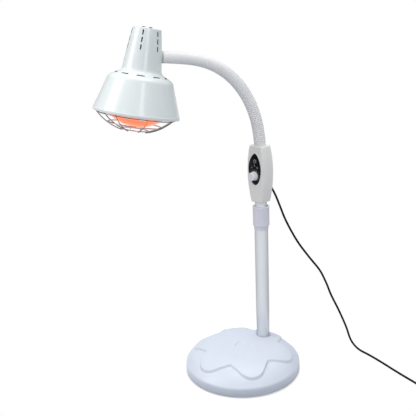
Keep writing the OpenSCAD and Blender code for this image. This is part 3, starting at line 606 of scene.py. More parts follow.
@dataclass
class Bench:
    """Turns meshes into finished pieces of the lamp."""

    frame: dict[str, Any]
    replaced: set[str] = field(default_factory=set)

    def piece(
        self,
        bm: bmesh.types.BMesh,
        name: str,
        slot: str,
        body: str | None,
        replaces: Sequence[str] = (),
        finish: Finish | None = None,
        sharp: float = 32.0,
        cuts: Sequence[bmesh.types.BMesh] = (),
        inside: Finish | None = None,
    ) -> bpy.types.Object:
        """Makes an object of a mesh, cuts it, shades it, dresses it and puts it on its body.

        Args:
            bm: The mesh, which is freed.
            name: Name of the piece.
            slot: The record's material slot.
            body: Body that carries the piece, or None where it is blended later.
            replaces: CAD nodes that it stands for.
            finish: Finish, if not the slot's own.
            sharp: Angle in degrees past which an edge is drawn sharp.
            cuts: Closed meshes to take away from it, which are freed.
            inside: Finish of the faces with material index 1 and of the walls cut into it; on the shade,
                painted shade for its inner wall and vents.

        Returns:
            The finished object.
        """
        bmesh.ops.remove_doubles(bm, verts=bm.verts, dist=1e-6)
        bmesh.ops.recalc_face_normals(bm, faces=bm.faces)
        ob = self._object(bm, name)
        for coat in (finish or Finishes.by_slot[slot], inside):
            if coat is not None:
                ob.data.materials.append(coat.material())
        if cuts:
            cutter = join(cuts)
            # Painted shade: walls left by the cuts take the inside finish when one is given, so the vents
            # look dark
            for face in cutter.faces:
                face.material_index = 1 if inside else 0
            self._cut(ob, cutter)
        self._shade(ob.data, sharp)
        if body is not None:
            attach(ob, body)
        if replaces:
            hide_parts(*replaces)
            self.replaced.update(replaces)
        log.info("%s: %d faces", name, len(ob.data.polygons))
        return ob

    def _object(self, bm: bmesh.types.BMesh, name: str) -> bpy.types.Object:
        """Makes a linked object of a mesh and frees the mesh.

        Args:
            bm: The mesh, freed once it has been read.
            name: Name of the object and of its mesh.

        Returns:
            The linked object.
        """
        mesh = bpy.data.meshes.new(name)
        bm.to_mesh(mesh)
        bm.free()
        ob = bpy.data.objects.new(name, mesh)
        bpy.context.scene.collection.objects.link(ob)
        return ob

    def _cut(self, ob: bpy.types.Object, cutter: bmesh.types.BMesh) -> None:
        """Takes a closed mesh away from an object's mesh.

        Args:
            ob: The object to cut, changed in place.
            cutter: The closed mesh to take away, which is freed.
        """
        bmesh.ops.recalc_face_normals(cutter, faces=cutter.faces)
        tool = self._object(cutter, "cutter")
        modifier = ob.modifiers.new("cut", "BOOLEAN")
        modifier.operation, modifier.object, modifier.solver = "DIFFERENCE", tool, "EXACT"
        graph = bpy.context.evaluated_depsgraph_get()
        cut = bpy.data.meshes.new_from_object(ob.evaluated_get(graph))
        ob.modifiers.remove(modifier)
        ob.data = cut
        bpy.data.objects.remove(tool)

    def _shade(self, mesh: bpy.types.Mesh, sharp: float) -> None:
        """Shades a mesh smooth apart from its sharp edges.

        Args:
            mesh: The mesh to shade.
            sharp: Angle in degrees past which an edge is drawn sharp.
        """
        bm = bmesh.new()
        bm.from_mesh(mesh)
        for face in bm.faces:
            face.smooth = True
        for edge in bm.edges:
            edge.smooth = edge.calc_face_angle(0.0) < math.radians(sharp)
        bm.to_mesh(mesh)
        bm.free()

    def dress_rest(self) -> None:
        """Gives every CAD node that still shows the finish of its slot."""
        slots = {s["node"]: s["material_slot"] for s in self.frame["record"]["subparts"]}
        for name, node in self.frame["nodes"].items():
            if name in self.replaced:
                continue
            node.data.materials.clear()
            node.data.materials.append(Finishes.by_node.get(name, Finishes.by_slot[slots[name]]).material())
        log.info("CAD nodes still shown: %s", sorted(set(self.frame["nodes"]) - self.replaced))


# ------------------------------------------------------------------ base and pole


@dataclass
class Base:
    """Weighted base: a domed moulding with a raised six-petal flower."""

    radius: float = 120.0
    crown: float = 48.5
    wall_top: float = 21.0
    foot: float = 2.5
    rise: float = 4.5
    petals: int = 6
    petal_reach: float = 107.0
    petal_radius: float = 28.0
    notch: float = 77.5
    petal_turn: float = 26.0
    slope: float = 2.6
    rim_fillet: float = 7.0
    dimple: float = 14.0
    dimple_depth: float = 1.2
    mast_y: float = 66.0
    bore_r: float = 14.02
    ring_r: float = 15.6

    def crown_z(self, r: float) -> float:
        """Height of the plain crown at a radius."""
        return self.crown - (self.crown - self.wall_top) * (r / self.radius) ** 5

    def in_petal(self, angle: float) -> float:
        """Angle from the middle line of the nearest petal, in radians and without its sign."""
        step = 2 * math.pi / self.petals
        return abs((angle - math.radians(self.petal_turn) + step / 2) % step - step / 2)

    def tip(self) -> tuple[Vector, Vector]:
        """Middle of a petal's round tip, and the direction square to its straight side.

        Returns:
            The tip's middle in millimetres, and the unit direction.
        """
        middle = Vector((self.petal_reach - self.petal_radius, 0.0))
        half = math.pi / self.petals
        side = Vector((math.cos(half), math.sin(half))) * self.notch - middle
        lean = math.atan2(side.y, side.x) - math.acos(self.petal_radius / side.length)
        return middle, Vector((math.cos(lean), math.sin(lean)))

    def petal_edge(self, angle: float) -> float:
        """Finds the flower's outline in one direction.

        Args:
            angle: Direction from the middle, in radians.

        Returns:
            Distance from the middle to the outline, in millimetres.
        """
        off = self.in_petal(angle)
        middle, square = self.tip()
        ray = Vector((math.cos(off), math.sin(off)))
        c, r = middle.x, self.petal_radius
        if abs(c * math.sin(off)) < r:
            hit = ray * (c * math.cos(off) + math.sqrt(r * r - (c * math.sin(off)) ** 2)) - middle
            if math.atan2(hit.y, hit.x) <= math.atan2(square.y, square.x):
                return (hit + middle).length
        return (middle.dot(square) + r) / ray.dot(square)

    def outside(self, x: float, y: float) -> float:
        """Measures how far a point lies outside the flower.

        Args:
            x: X of the point, in millimetres from the middle.
            y: Y of the point.

        Returns:
            Distance to the outline, negative inside it.
        """
        off, r = self.in_petal(math.atan2(y, x)), math.hypot(x, y)
        middle, square = self.tip()
        local = Vector((r * math.cos(off), r * math.sin(off))) - middle
        if math.atan2(local.y, local.x) <= math.atan2(square.y, square.x):
            return local.length - self.petal_radius
        return local.dot(square) - self.petal_radius

    def housing(self, bench: Bench) -> None:
        """Builds the moulded housing: rings that follow the flower's outline, moved to their heights.

        Args:
            bench: The workbench that the pieces are added to.
        """
        still = [0, 5, 9, 12, 12.8, 13.4, 14, 14.6, 15.2, 16.5, 19]
        inner, edge, outer = 8, 12, 7
        flat = 112.0
        crown = [(r, self.crown_z(r)) for r in (100.0, 106.0, flat)]
        rim = fillet(
            [*crown, (self.radius, self.crown_z(flat) - (self.radius - flat), self.rim_fillet),
             (self.radius, self.foot + 1.0), (self.radius - 1, self.foot), (self.radius - 3, self.foot),
             (self.radius - 3, self.foot + 1.6)], 9)[3:]
        rings = len(still) + inner + edge + outer + len(rim)
        bm = bmesh.new()
        verts = [bm.verts.new((k * MM, 0, 0)) for k in range(rings)]
        edges = [bm.edges.new(pair) for pair in zip(verts, verts[1:])]
        bmesh.ops.spin(bm, geom=verts + edges, cent=(0, 0, 0), axis=(0, 0, 1), angle=2 * math.pi, steps=360,
                       use_merge=True, use_duplicate=False)
        bmesh.ops.remove_doubles(bm, verts=bm.verts, dist=1e-6)
        for vert in bm.verts:
            k = round(math.hypot(vert.co.x, vert.co.y) / MM)
            angle = math.atan2(vert.co.y, vert.co.x)
            reach = self.petal_edge(angle)
            span = self.slope / 2 + 1.2
            if k < len(still):
                r = still[k]
            elif k < len(still) + inner:
                r = still[-1] + (reach - span - still[-1]) * (k - len(still) + 1) / (inner + 1)
            elif k < len(still) + inner + edge:
                r = reach - span + 2 * span * (k - len(still) - inner) / (edge - 1)
            elif k < rings - len(rim):
                r = reach + span + (flat - reach - span) * (k - len(still) - inner - edge + 1) / (outer + 1)
            else:
                r, z = rim[k - rings + len(rim)]
                vert.co = Vector((r * math.cos(angle), r * math.sin(angle), z)) * MM
                continue
            x, y = r * math.cos(angle), r * math.sin(angle)
            lift = self.rise * smooth_step((self.slope / 2 - self.outside(x, y)) / self.slope)
            dent = self.dimple_depth * smooth_step((self.dimple + 0.4 - r) / 0.8)
            rib = 0.35 * math.exp(-(((r - self.dimple - 1.6) / 0.8) ** 2))
            vert.co = Vector((x, y, self.crown_z(r) + lift - dent + rib)) * MM
        boundary = [e for e in bm.edges if e.is_boundary]
        bmesh.ops.edgeloop_fill(bm, edges=boundary)
        bore = lathe([(0, 19.5), (self.bore_r, 19.5), (self.bore_r, 70), (0, 70)], 96)
        hole = placed(bore, move_mm(0, self.mast_y, 0))
        bench.piece(bm, "base_moulding", "white_plastic", "base", ["base_housing"], sharp=50, cuts=[hole])

    def foot_ring(self, bench: Bench) -> None:
        """Builds the ring round the pole's foot.

        Args:
            bench: The workbench that the pieces are added to.
        """
        top = self.crown_z(self.mast_y) + self.rise + 3
        bore, r = self.bore_r, self.ring_r
        ring = lathe(fillet([(bore, 44), (r, 44), (r, top, 1.1), (bore, top), (bore, 46)]), 96)
        bench.piece(placed(ring, move_mm(0, self.mast_y, 0)), "pole_base_ring", "collar_plastic", "base",
                    ["pole_foot_ring"], Finishes.ring)

    def build(self, bench: Bench) -> None:
        """Builds the base's visible pieces.

        Args:
            bench: The workbench that the pieces are added to.
        """
        self.housing(bench)
        self.foot_ring(bench)


@dataclass
class Pole:
    """Telescopic pole with its ferrule, collet and clamp collar."""

    mast_y: float = 66.0
    outer_r: float = 14.0
    outer_wall: float = 1.5
    outer_foot: float = 20.0
    outer_top: float = 326.0
    inner_r: float = 12.0
    inner_wall: float = 1.2
    inner_foot: float = 75.0
    inner_top: float = 371.0
    ferrule_r: float = 15.6
    collar_r: float = 17.25
    collar_z: float = 304.0
    collar_h: float = 41.5
    flutes: int = 12
    flute_depth: float = 0.55
    flute_half: float = 0.42

    def _at_mast(self, bm: bmesh.types.BMesh) -> bmesh.types.BMesh:
        """Moves a turned piece onto the pole's axis."""
        return placed(bm, move_mm(0, self.mast_y, 0))

    def tubes(self, bench: Bench) -> None:
        """Builds both tubes with their rounded ends.

        Args:
            bench: The workbench that the pieces are added to.
        """
        lower = (self.outer_r, self.outer_wall, self.outer_foot, self.outer_top)
        upper = (self.inner_r, self.inner_wall, self.inner_foot, self.inner_top)
        for name, body, node, (r, wall, foot, top) in (
            ("lower_tube", "base", "outer_tube", lower),
            ("upper_tube", "mast", "inner_tube", upper),
        ):
            outline = fillet(
                [(r - wall, (foot + top) / 2), (r - wall, foot, 0.3), (r, foot, 0.4), (r, top, 0.4),
                 (r - wall, top, 0.3), (r - wall, (foot + top) / 2 + 1)], 3)
            bench.piece(self._at_mast(lathe(outline, 128)), name, "silver_tube", body, [node])

    def ferrule(self, bench: Bench) -> None:
        """Builds the threaded ferrule on the lower tube.

        Args:
            bench: The workbench that the pieces are added to.
        """
        z, top, r = self.collar_z - 8, self.outer_top, self.ferrule_r
        thread = [
            p
            for k in range(4)
            for p in (
                (r - 0.02, z + 14 + 3 * k),
                (r - 0.8, z + 14.8 + 3 * k),
                (r - 0.8, z + 15.4 + 3 * k),
                (r - 0.02, z + 16.2 + 3 * k),
            )
        ]
        outline = fillet(
            [
                (self.outer_r, z + 4),
                (self.outer_r, z),
                (r - 0.6, z, 0.5),
                (r - 0.6, z + 7.2, 0.3),
                (r - 0.6, z + 7.6),
                (r - 0.02, z + 8.2),
                *thread,
                (r - 0.02, top + 1),
                (r - 1.6, top + 7),
                (12.4, top + 7),
                (12.4, top),
                (self.outer_r, top),
            ],
            4,
        )
        bench.piece(
            self._at_mast(lathe(outline, 128)), "threaded_ferrule", "collar_plastic", "base", ["tube_ferrule"]
        )

    def collar(self, bench: Bench) -> None:
        """Builds the clamp collar: a turned cup with shallow flutes, a rounded top and a foot bead.

        Args:
            bench: The workbench that the pieces are added to.
        """
        z, r, top = self.collar_z, self.collar_r, self.collar_z + self.collar_h
        levels = [z + 4 + (self.collar_h - 9.5) * k / 12 for k in range(13)]
        outline = fillet(
            [
                (self.ferrule_r + 0.05, z + 2),
                (self.ferrule_r + 0.05, z),
                (r - 0.15, z, 0.9),
                (r - 0.15, z + 2.6, 0.3),
                (r, z + 3.2),
                *[(r, level) for level in levels],
                (r, top, 2.2),
                (12.3, top, 0.4),
                (12.3, top - 3.4),
                (14.3, top - 3.4),
                (14.3, self.outer_top + 7.3),
                (self.ferrule_r + 0.05, self.outer_top + 1.3),
            ],
            6,
        )
        bm = lathe(outline, 240)
        for vert in bm.verts:
            x, y, height = vert.co / MM
            radius = math.hypot(x, y)
            if radius < r - 0.4 or height < z + 3 or height > top - 2:
                continue
            phase = (math.atan2(y, x) * self.flutes / (2 * math.pi)) % 1.0
            off = min(abs(phase - 0.5) / self.flute_half, 1.0)
            hollow = math.cos(math.pi * off / 2) ** 0.7 if off < 1 else 0.0
            ends = smooth_step((height - z - 3.2) / 2.5) * smooth_step((top - 3.0 - height) / 4.0)
            cut = self.flute_depth * hollow * ends
            vert.co.x -= x / radius * cut * MM
            vert.co.y -= y / radius * cut * MM
        bench.piece(self._at_mast(bm), "fluted_collar", "collar_plastic", "collar", ["clamp_collar"])

    def build(self, bench: Bench) -> None:
        """Builds the pole's visible pieces.

        Args:
            bench: The workbench that the pieces are added to.
        """
        self.tubes(bench)
        self.ferrule(bench)
        self.collar(bench)


# ------------------------------------------------------------------ control box


@dataclass
class ControlBox:
    """Slim two-part box with its black panel and dimmer knob."""

    mast_y: float = 66.0
    foot_z: float = 355.0
    height: float = 117.0
    bulge_h: float = 65.0
    widths: tuple[float, float, float] = (29.0, 46.0, 33.0)
    depths: tuple[float, float, float] = (28.0, 34.0, 27.5)
    chamfers: tuple[float, float, float] = (2.0, 4.2, 2.0)
    seam: float = 0.2
    panel_w: float = 33.0
    panel_h: float = 65.0
    panel_mid: float = 70.0
    panel_rim: float = 0.35
    knob_h: float = 57.0
    knob_r: float = 8.5
    knob_len: float = 12.5
    dial_ticks: int = 11
    dial_sweep: float = 270.0
    tick_r: float = 11.6
    tick_size: tuple[float, float, float] = (0.7, 2.0, 0.05)
    dial_ring_r: float = 9.6

    def bulged(self, sizes: tuple[float, float, float], z: float) -> float:
        """A size at a height above the underside, from its sizes at foot, bulge and top.

        Args:
            sizes: Sizes at the foot, the bulge and the top, in millimetres.
            z: Height above the underside.

        Returns:
            The size at that height.
        """
        foot, middle, top = sizes
        if z < self.bulge_h:
            return middle - (middle - foot) * ((self.bulge_h - z) / self.bulge_h) ** 2
        return middle - (middle - top) * ((z - self.bulge_h) / (self.height - self.bulge_h)) ** 2

    def front_y(self, z: float) -> float:
        """Y of the front face at a height above the underside."""
        return self.mast_y - self.bulged(self.depths, z) / 2

    def section(self, z: float, inset: float = 0.0) -> list[Point2]:
        """Chamfered outline of the box at a height, its corners softened.

        Args:
            z: Height above the underside.
            inset: How far the outline is drawn in.

        Returns:
            X and Y of each point, in millimetres from the pole's axis.
        """
        w, d = self.bulged(self.widths, z) / 2 - inset, self.bulged(self.depths, z) / 2 - inset
        c = self.bulged(self.chamfers, z)
        corner = [(w, 0.0), (w, d - c, 1.1), (w - c, d, 1.1), (0.0, d)]
        quarter = fillet(corner, 3)[1:-1]
        right = quarter + [(-x, y) for x, y in reversed(quarter)]
        return right + [(-x, -y) for x, y in right]

    def shell_form(self) -> bmesh.types.BMesh:
        """Lofts the box's outer form through its sections, with a rounded rim at both ends.

        Returns:
            The closed outer form of both shells.
        """
        rim = 0.9
        levels = [(0.0, rim), (0.3, 0.35), (rim, 0.0)]
        levels += [(rim + (self.height - 2 * rim) * k / 40, 0.0) for k in range(1, 40)]
        levels += [(self.height - rim, 0.0), (self.height - 0.3, 0.35), (self.height, rim)]
        bm = bmesh.new()
        ring: list[bmesh.types.BMEdge] = []
        for level, inset in levels:
            points = self.section(level, inset)
            if not ring:
                verts = [bm.verts.new() for _ in points]
                ring = [bm.edges.new((verts[i - 1], verts[i])) for i in range(len(verts))]
                order = verts
                first = ring[:]
            else:
                made = bmesh.ops.extrude_edge_only(bm, edges=ring)["geom"]
                ring = [g for g in made if isinstance(g, bmesh.types.BMEdge)]
                fresh = {g for g in made if isinstance(g, bmesh.types.BMVert)}
                order = [
                    next(e.other_vert(v) for e in v.link_edges if e.other_vert(v) in fresh) for v in order
                ]
            for vert, (x, y) in zip(order, points):
                vert.co = Vector((x, y + self.mast_y, level + self.foot_z)) * MM
        bmesh.ops.edgeloop_fill(bm, edges=first)
        bmesh.ops.edgeloop_fill(bm, edges=ring)
        return bm

    def oval(self, grow: float = 0.0, steps: int = 40) -> list[Point2]:
        """Right half of the panel's pointed oval, from its foot to its tip, as half width and height.

        Args:
            grow: How far the outline is drawn out, in millimetres.
            steps: Segments along the half outline.

        Returns:
            Half width and height above the underside of each point.
        """
        w, h = self.panel_w / 2 + grow, self.panel_h / 2 + grow
        out = []
        for i in range(steps + 1):
            t = -math.cos(math.pi * i / steps)
            out.append((w * max(1 - t * t, 0.0) ** (0.7 if t > 0 else 0.55), self.panel_mid + h * t))
        return out

    def oval_prism(self, grow: float, near: float, far: float) -> bmesh.types.BMesh:
        """Prism of the panel's oval between two depths behind the front face, following its curve.

        Args:
            grow: How far the outline is drawn out, in millimetres.
            near: Distance of its first end behind the front face, negative in front of it.
            far: Distance of its second end behind the front face.

        Returns:
            The closed prism.
        """
        bm = bmesh.new()
        half = self.oval(grow)
        outline = half + [(-x, z) for x, z in reversed(half[1:-1])]
        verts = [bm.verts.new(Vector((x, self.front_y(z) + near, z + self.foot_z)) * MM) for x, z in outline]
        rungs = [(verts[i], verts[len(outline) - i]) for i in range(1, len(half) - 1)]
        bm.faces.new(verts)
        for a, b in rungs:
            bmesh.utils.face_split(next(f for f in a.link_faces if b in f.verts), a, b)
        made = bmesh.ops.extrude_face_region(bm, geom=bm.faces[:])["geom"]
        for vert in (g for g in made if isinstance(g, bmesh.types.BMVert)):
            vert.co.y += (far - near) * MM
        return bm

    def shells(self, bench: Bench) -> None:
        """Builds the front and rear shells, parted at the pole's axis.

        Args:
            bench: The workbench that the pieces are added to.
        """
        for front in (True, False):
            bm = self.shell_form()
            sign = -1.0 if front else 1.0
            bmesh.ops.bisect_plane(
                bm,
                geom=bm.verts[:] + bm.edges[:] + bm.faces[:],
                dist=1e-6,
                plane_co=Vector((0, self.mast_y + sign * self.seam / 2, 0)) * MM,
                plane_no=(0, sign, 0),
                clear_inner=True,
            )
            bmesh.ops.edgeloop_fill(bm, edges=[e for e in bm.edges if e.is_boundary])
            cuts = [self.oval_prism(0.15, -3.0, 1.4)] if front else []
            side = "front" if front else "rear"
            bench.piece(
                bm, f"box_{side}_moulding", "box_plastic", "mast", [f"box_{side}_shell"], sharp=38, cuts=cuts
            )

    def panel(self, bench: Bench) -> None:
        """Builds the black panel with its softened rim.

        Args:
            bench: The workbench that the pieces are added to.
        """
        bm = self.oval_prism(0.0, 0.25, 1.8)
        rim = [e for e in bm.edges if e.calc_face_angle(0.0) > math.radians(60) and
               all(v.co.y < (self.front_y(v.co.z / MM - self.foot_z) + 0.5) * MM for v in e.verts)]
        soften(bm, rim, self.panel_rim, 2)
        bench.piece(bm, "oval_panel", "black_panel", "mast", ["control_panel"], sharp=45)

    def on_panel(self, x: float, z: float) -> Matrix:
        """Frame of a mark on the panel: X to the right, Y up, Z out of it."""
        slope = math.degrees(math.atan2(self.front_y(z + 1) - self.front_y(z - 1), 2.0))
        return move_mm(x, self.front_y(z) + 0.25 - 0.02, z + self.foot_z) @ turn(90 - slope, "X")

    def dial_marks(self, bench: Bench) -> None:
        """Prints plain ticks and figures round the knob, and a power sign above it.

        Args:
            bench: The workbench that the pieces are added to.
        """
        marks = []
        for k in range(self.dial_ticks):
            a = math.radians(90 + self.dial_sweep / 2 - self.dial_sweep / (self.dial_ticks - 1) * k)
            tick = box_solid(self.tick_size, (0, 0, 0))
            x, z = self.tick_r * math.cos(a), self.knob_h + self.tick_r * math.sin(a)
            marks.append(placed(tick, self.on_panel(x, z) @ turn(math.degrees(a) - 90, "Z")))
        marks.append(placed(torus(self.dial_ring_r, 0.25, 64, 8), self.on_panel(0, self.knob_h)))
        bench.piece(join(marks), "dial_ticks", "black_panel", "mast", finish=Finishes.print_ink)
        words = [
            ("0", -7.6, self.knob_h + 15.6, 5.0),
            ("10", 6.4, self.knob_h + 16.8, 5.0),
            ("5", -0.2, self.knob_h + 20.5, 5.6),
        ]
        for body, x, z, size in words:
            self._figure(bench, body, x, z, size)
        sign = [placed(torus(3.2, 0.4, 48, 8), self.on_panel(0.2, self.knob_h + 29.5)),
                placed(box_solid((0.8, 3.4, 0.06), (0, 2.6, 0)), self.on_panel(0.2, self.knob_h + 29.5))]
        bench.piece(join(sign), "power_sign", "black_panel", "mast", finish=Finishes.print_ink)

    def _figure(self, bench: Bench, text: str, x: float, z: float, size: float) -> None:
        """Prints one figure of the dial on the panel.

        Args:
            bench: The workbench that the pieces are added to.
            text: The figure to print.
            x: Middle of the figure across the panel.
            z: Middle of the figure in height.
            size: Height of the type.
        """
        curve = bpy.data.curves.new("figure", "FONT")
        curve.body, curve.size, curve.extrude = text, size * MM, 0.03 * MM
        curve.align_x, curve.align_y = "CENTER", "CENTER"
        carrier = bpy.data.objects.new("figure", curve)
        bpy.context.scene.collection.objects.link(carrier)
        mesh = bpy.data.meshes.new_from_object(carrier.evaluated_get(bpy.context.evaluated_depsgraph_get()))
        bpy.data.objects.remove(carrier)
        bm = bmesh.new()
        bm.from_mesh(mesh)
        bench.piece(placed(bm, self.on_panel(x, z)), f"dial_figure_{text}", "black_panel", "mast",
                    finish=Finishes.print_ink)

    def knob(self, bench: Bench) -> None:
        """Builds the dimmer knob: a tapered cap with a skirt, a soft dish and a pointer groove.

        Args:
            bench: The workbench that the pieces are added to.
        """
        r, length = self.knob_r, self.knob_len
        outline = fillet(
            [
                (0, 0.6),
                (r + 0.6, 0.6, 0.3),
                (r + 0.6, 1.9, 0.4),
                (r + 0.05, 2.6, 0.5),
                (r - 0.35, length, 1.4),
                (r - 2.4, length, 0.6),
                (r - 2.8, length - 0.35, 0.5),
                (0, length - 0.5),
            ],
            6,
        )
        outline[-1] = (0, outline[-1][1])
        bm = lathe(outline, 96)
        shaft = lathe([(0, -9), (3.0, -9), (3.0, 0.7), (0, 0.7)], 48)
        groove = box_solid((0.9, 5.0, 2.0), (0, r - 2.8, length + 0.45), 0.2)
        frame = move_mm(0, self.front_y(self.knob_h), self.foot_z + self.knob_h) @ turn(90, "X")
        cuts = [placed(groove, frame)]
        bench.piece(placed(bm, frame), "dimmer_cap", "knob_plastic", "dimmer", ["dimmer_knob"], cuts=cuts)
        bench.piece(placed(shaft, frame), "dimmer_shaft", "plated_steel", "dimmer")

    def build(self, bench: Bench) -> None:
        """Builds the box's visible pieces.

        Args:
            bench: The workbench that the pieces are added to.
        """
        self.shells(bench)
        self.panel(bench)
        self.dial_marks(bench)
        self.knob(bench)


# ------------------------------------------------------------------ neck


@dataclass
class Neck:
    """Bendable neck: one ribbed sleeve in thirteen lengths, each over one joint."""

    mast_y: float = 66.0
    foot_joint_z: float = 477.0
    box_top: float = 472.0
    azimuth: float = -118.0
    links: int = 12
    link_len: float = 22.5
    bend: float = 84.0
    peak: int = 9
    foot_share: float = 0.58
    head_share: float = 0.13
    sleeve_r: float = 12.0
    end_sleeve_r: float = 11.3
    rib_pitch: float = 4.1
    rib_depth: float = 1.5
    end_rib_depth: float = 0.25
    bore_r: float = 9.9
    end_len: float = 22.0
    gasket: float = 1.4

    def kinks(self) -> list[float]:
        """Shares the neck's bend out over its joints, most of it near the peak.

        Returns:
            Bend at each joint in degrees, from the foot up.
        """
        weights = []
        for i in range(self.links + 1):
            if i <= self.peak:
                t = (1 - math.cos(math.pi * i / self.peak)) / 2
                weights.append(self.foot_share + (1 - self.foot_share) * t)
            else:
                t = (1 - math.cos(math.pi * (i - self.peak) / (self.links - self.peak))) / 2
                weights.append(1 + (self.head_share - 1) * t)
        return [self.bend * w / sum(weights) for w in weights]

    def joints(self) -> list[Matrix]:
        """Frame of the link on each joint at rest: Z along the link, X to the inside of the bend.

        Returns:
            Frame of each joint, from the foot up.
        """
        place = move_mm(0, self.mast_y, self.foot_joint_z) @ turn(self.azimuth, "Z")
        frames = []
        for kink in self.kinks():
            place = place @ turn(kink, "Y")
            frames.append(place)
            place = place @ move_mm(0, 0, self.link_len)
        return frames

    def sleeve(self, index: int, bench: Bench) -> None:
        """Builds the length of sleeve over one joint, set in its place at rest on no body.

        Args:
            index: Joint that this length covers, from 0 at the foot.
            bench: Bench that finishes it.
        """
        half = self.link_len / 2
        frames, kinks = self.joints(), self.kinks()
        before = half if index else self.foot_joint_z - self.box_top
        after = half if index < self.links else self.end_len - self.gasket - 0.3
        centre = frames[index] @ turn(-kinks[index], "Y")
        from_foot = self.foot_joint_z - self.box_top + index * self.link_len
        steps = max(round((before + after) / self.rib_pitch * 12), 12)
        outer = []
        for k in range(steps + 1):
            s = -before + (before + after) * k / steps
            wave = abs(math.sin(math.pi * (from_foot + s) / self.rib_pitch))
            taper = (from_foot + s) / (self.links * self.link_len + self.end_len)
            crown = self.sleeve_r + (self.end_sleeve_r - self.sleeve_r) * taper
            depth = self.rib_depth + (self.end_rib_depth - self.rib_depth) * min(taper * 2.2, 1.0)
            outer.append((crown - depth * (1 - wave**0.75), s))
        inner = [(self.bore_r, -before + (before + after) * k / 12) for k in range(12, -1, -1)]
        bm = lathe(outer + inner, 64)
        bend = math.radians(kinks[index])
        reach = min(before, after)
        for vert in bm.verts:
            vert.co = self._bent(vert.co / MM, bend, reach) * MM
        placed(bm, centre)
        nodes = [f"neck_link_{index:02d}"] if index else ["neck_foot_fitting"]
        if index == self.links:
            nodes.append("neck_end_fitting")
        ob = bench.piece(bm, f"sleeve_{index + 1:02d}", "neck_sleeve", None, nodes, sharp=60)
        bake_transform(ob)

    def _bent(self, p: Vector, bend: float, reach: float) -> Vector:
        """Bends a point of a straight tube about a joint at its middle.

        Args:
            p: Point, its Z measured from the joint.
            bend: Angle of the bend.
            reach: Distance on each side of the joint over which it bends.

        Returns:
            The point on the bent tube.
        """
        if bend < 1e-6:
            return p
        radius = reach / math.tan(bend / 2)
        share = min(max((p.z + reach) / (2 * reach), 0.0), 1.0)
        angle = bend * share
        beyond = p.z + reach if p.z < -reach else max(p.z - reach, 0.0)
        foot = Vector((radius * (1 - math.cos(angle)), 0, -reach + radius * math.sin(angle)))
        along = Vector((math.sin(angle), 0, math.cos(angle)))
        across = Vector((math.cos(angle), 0, -math.sin(angle)))
        return foot + along * beyond + across * p.x + Vector((0, p.y, 0))

    def end_pipe(self, bench: Bench) -> None:
        """Builds the threaded pipe that passes into the shade.

        Args:
            bench: The workbench that the pieces are added to.
        """
        thread = []
        z = self.end_len + 0.5
        while z < self.end_len + 10:
            thread += [(4.95, z), (4.6, z + 0.5)]
            z += 1.0
        outline = [
            (3.5, self.end_len + 11),
            (3.5, 11),
            (5.0, 11),
            (5.0, self.end_len),
            *thread,
            (4.7, self.end_len + 11),
        ]
        bench.piece(
            placed(lathe(outline, 48), self.joints()[-1]), "neck_end_pipe", "plated_steel", "neck_end"
        )

    def build(self, bench: Bench) -> None:
        """Builds the sleeve and the pipe at its end.

        Args:
            bench: The workbench that the pieces are added to.
        """
        for index in range(self.links + 1):
            self.sleeve(index, bench)
        self.end_pipe(bench)


# ------------------------------------------------------------------ head


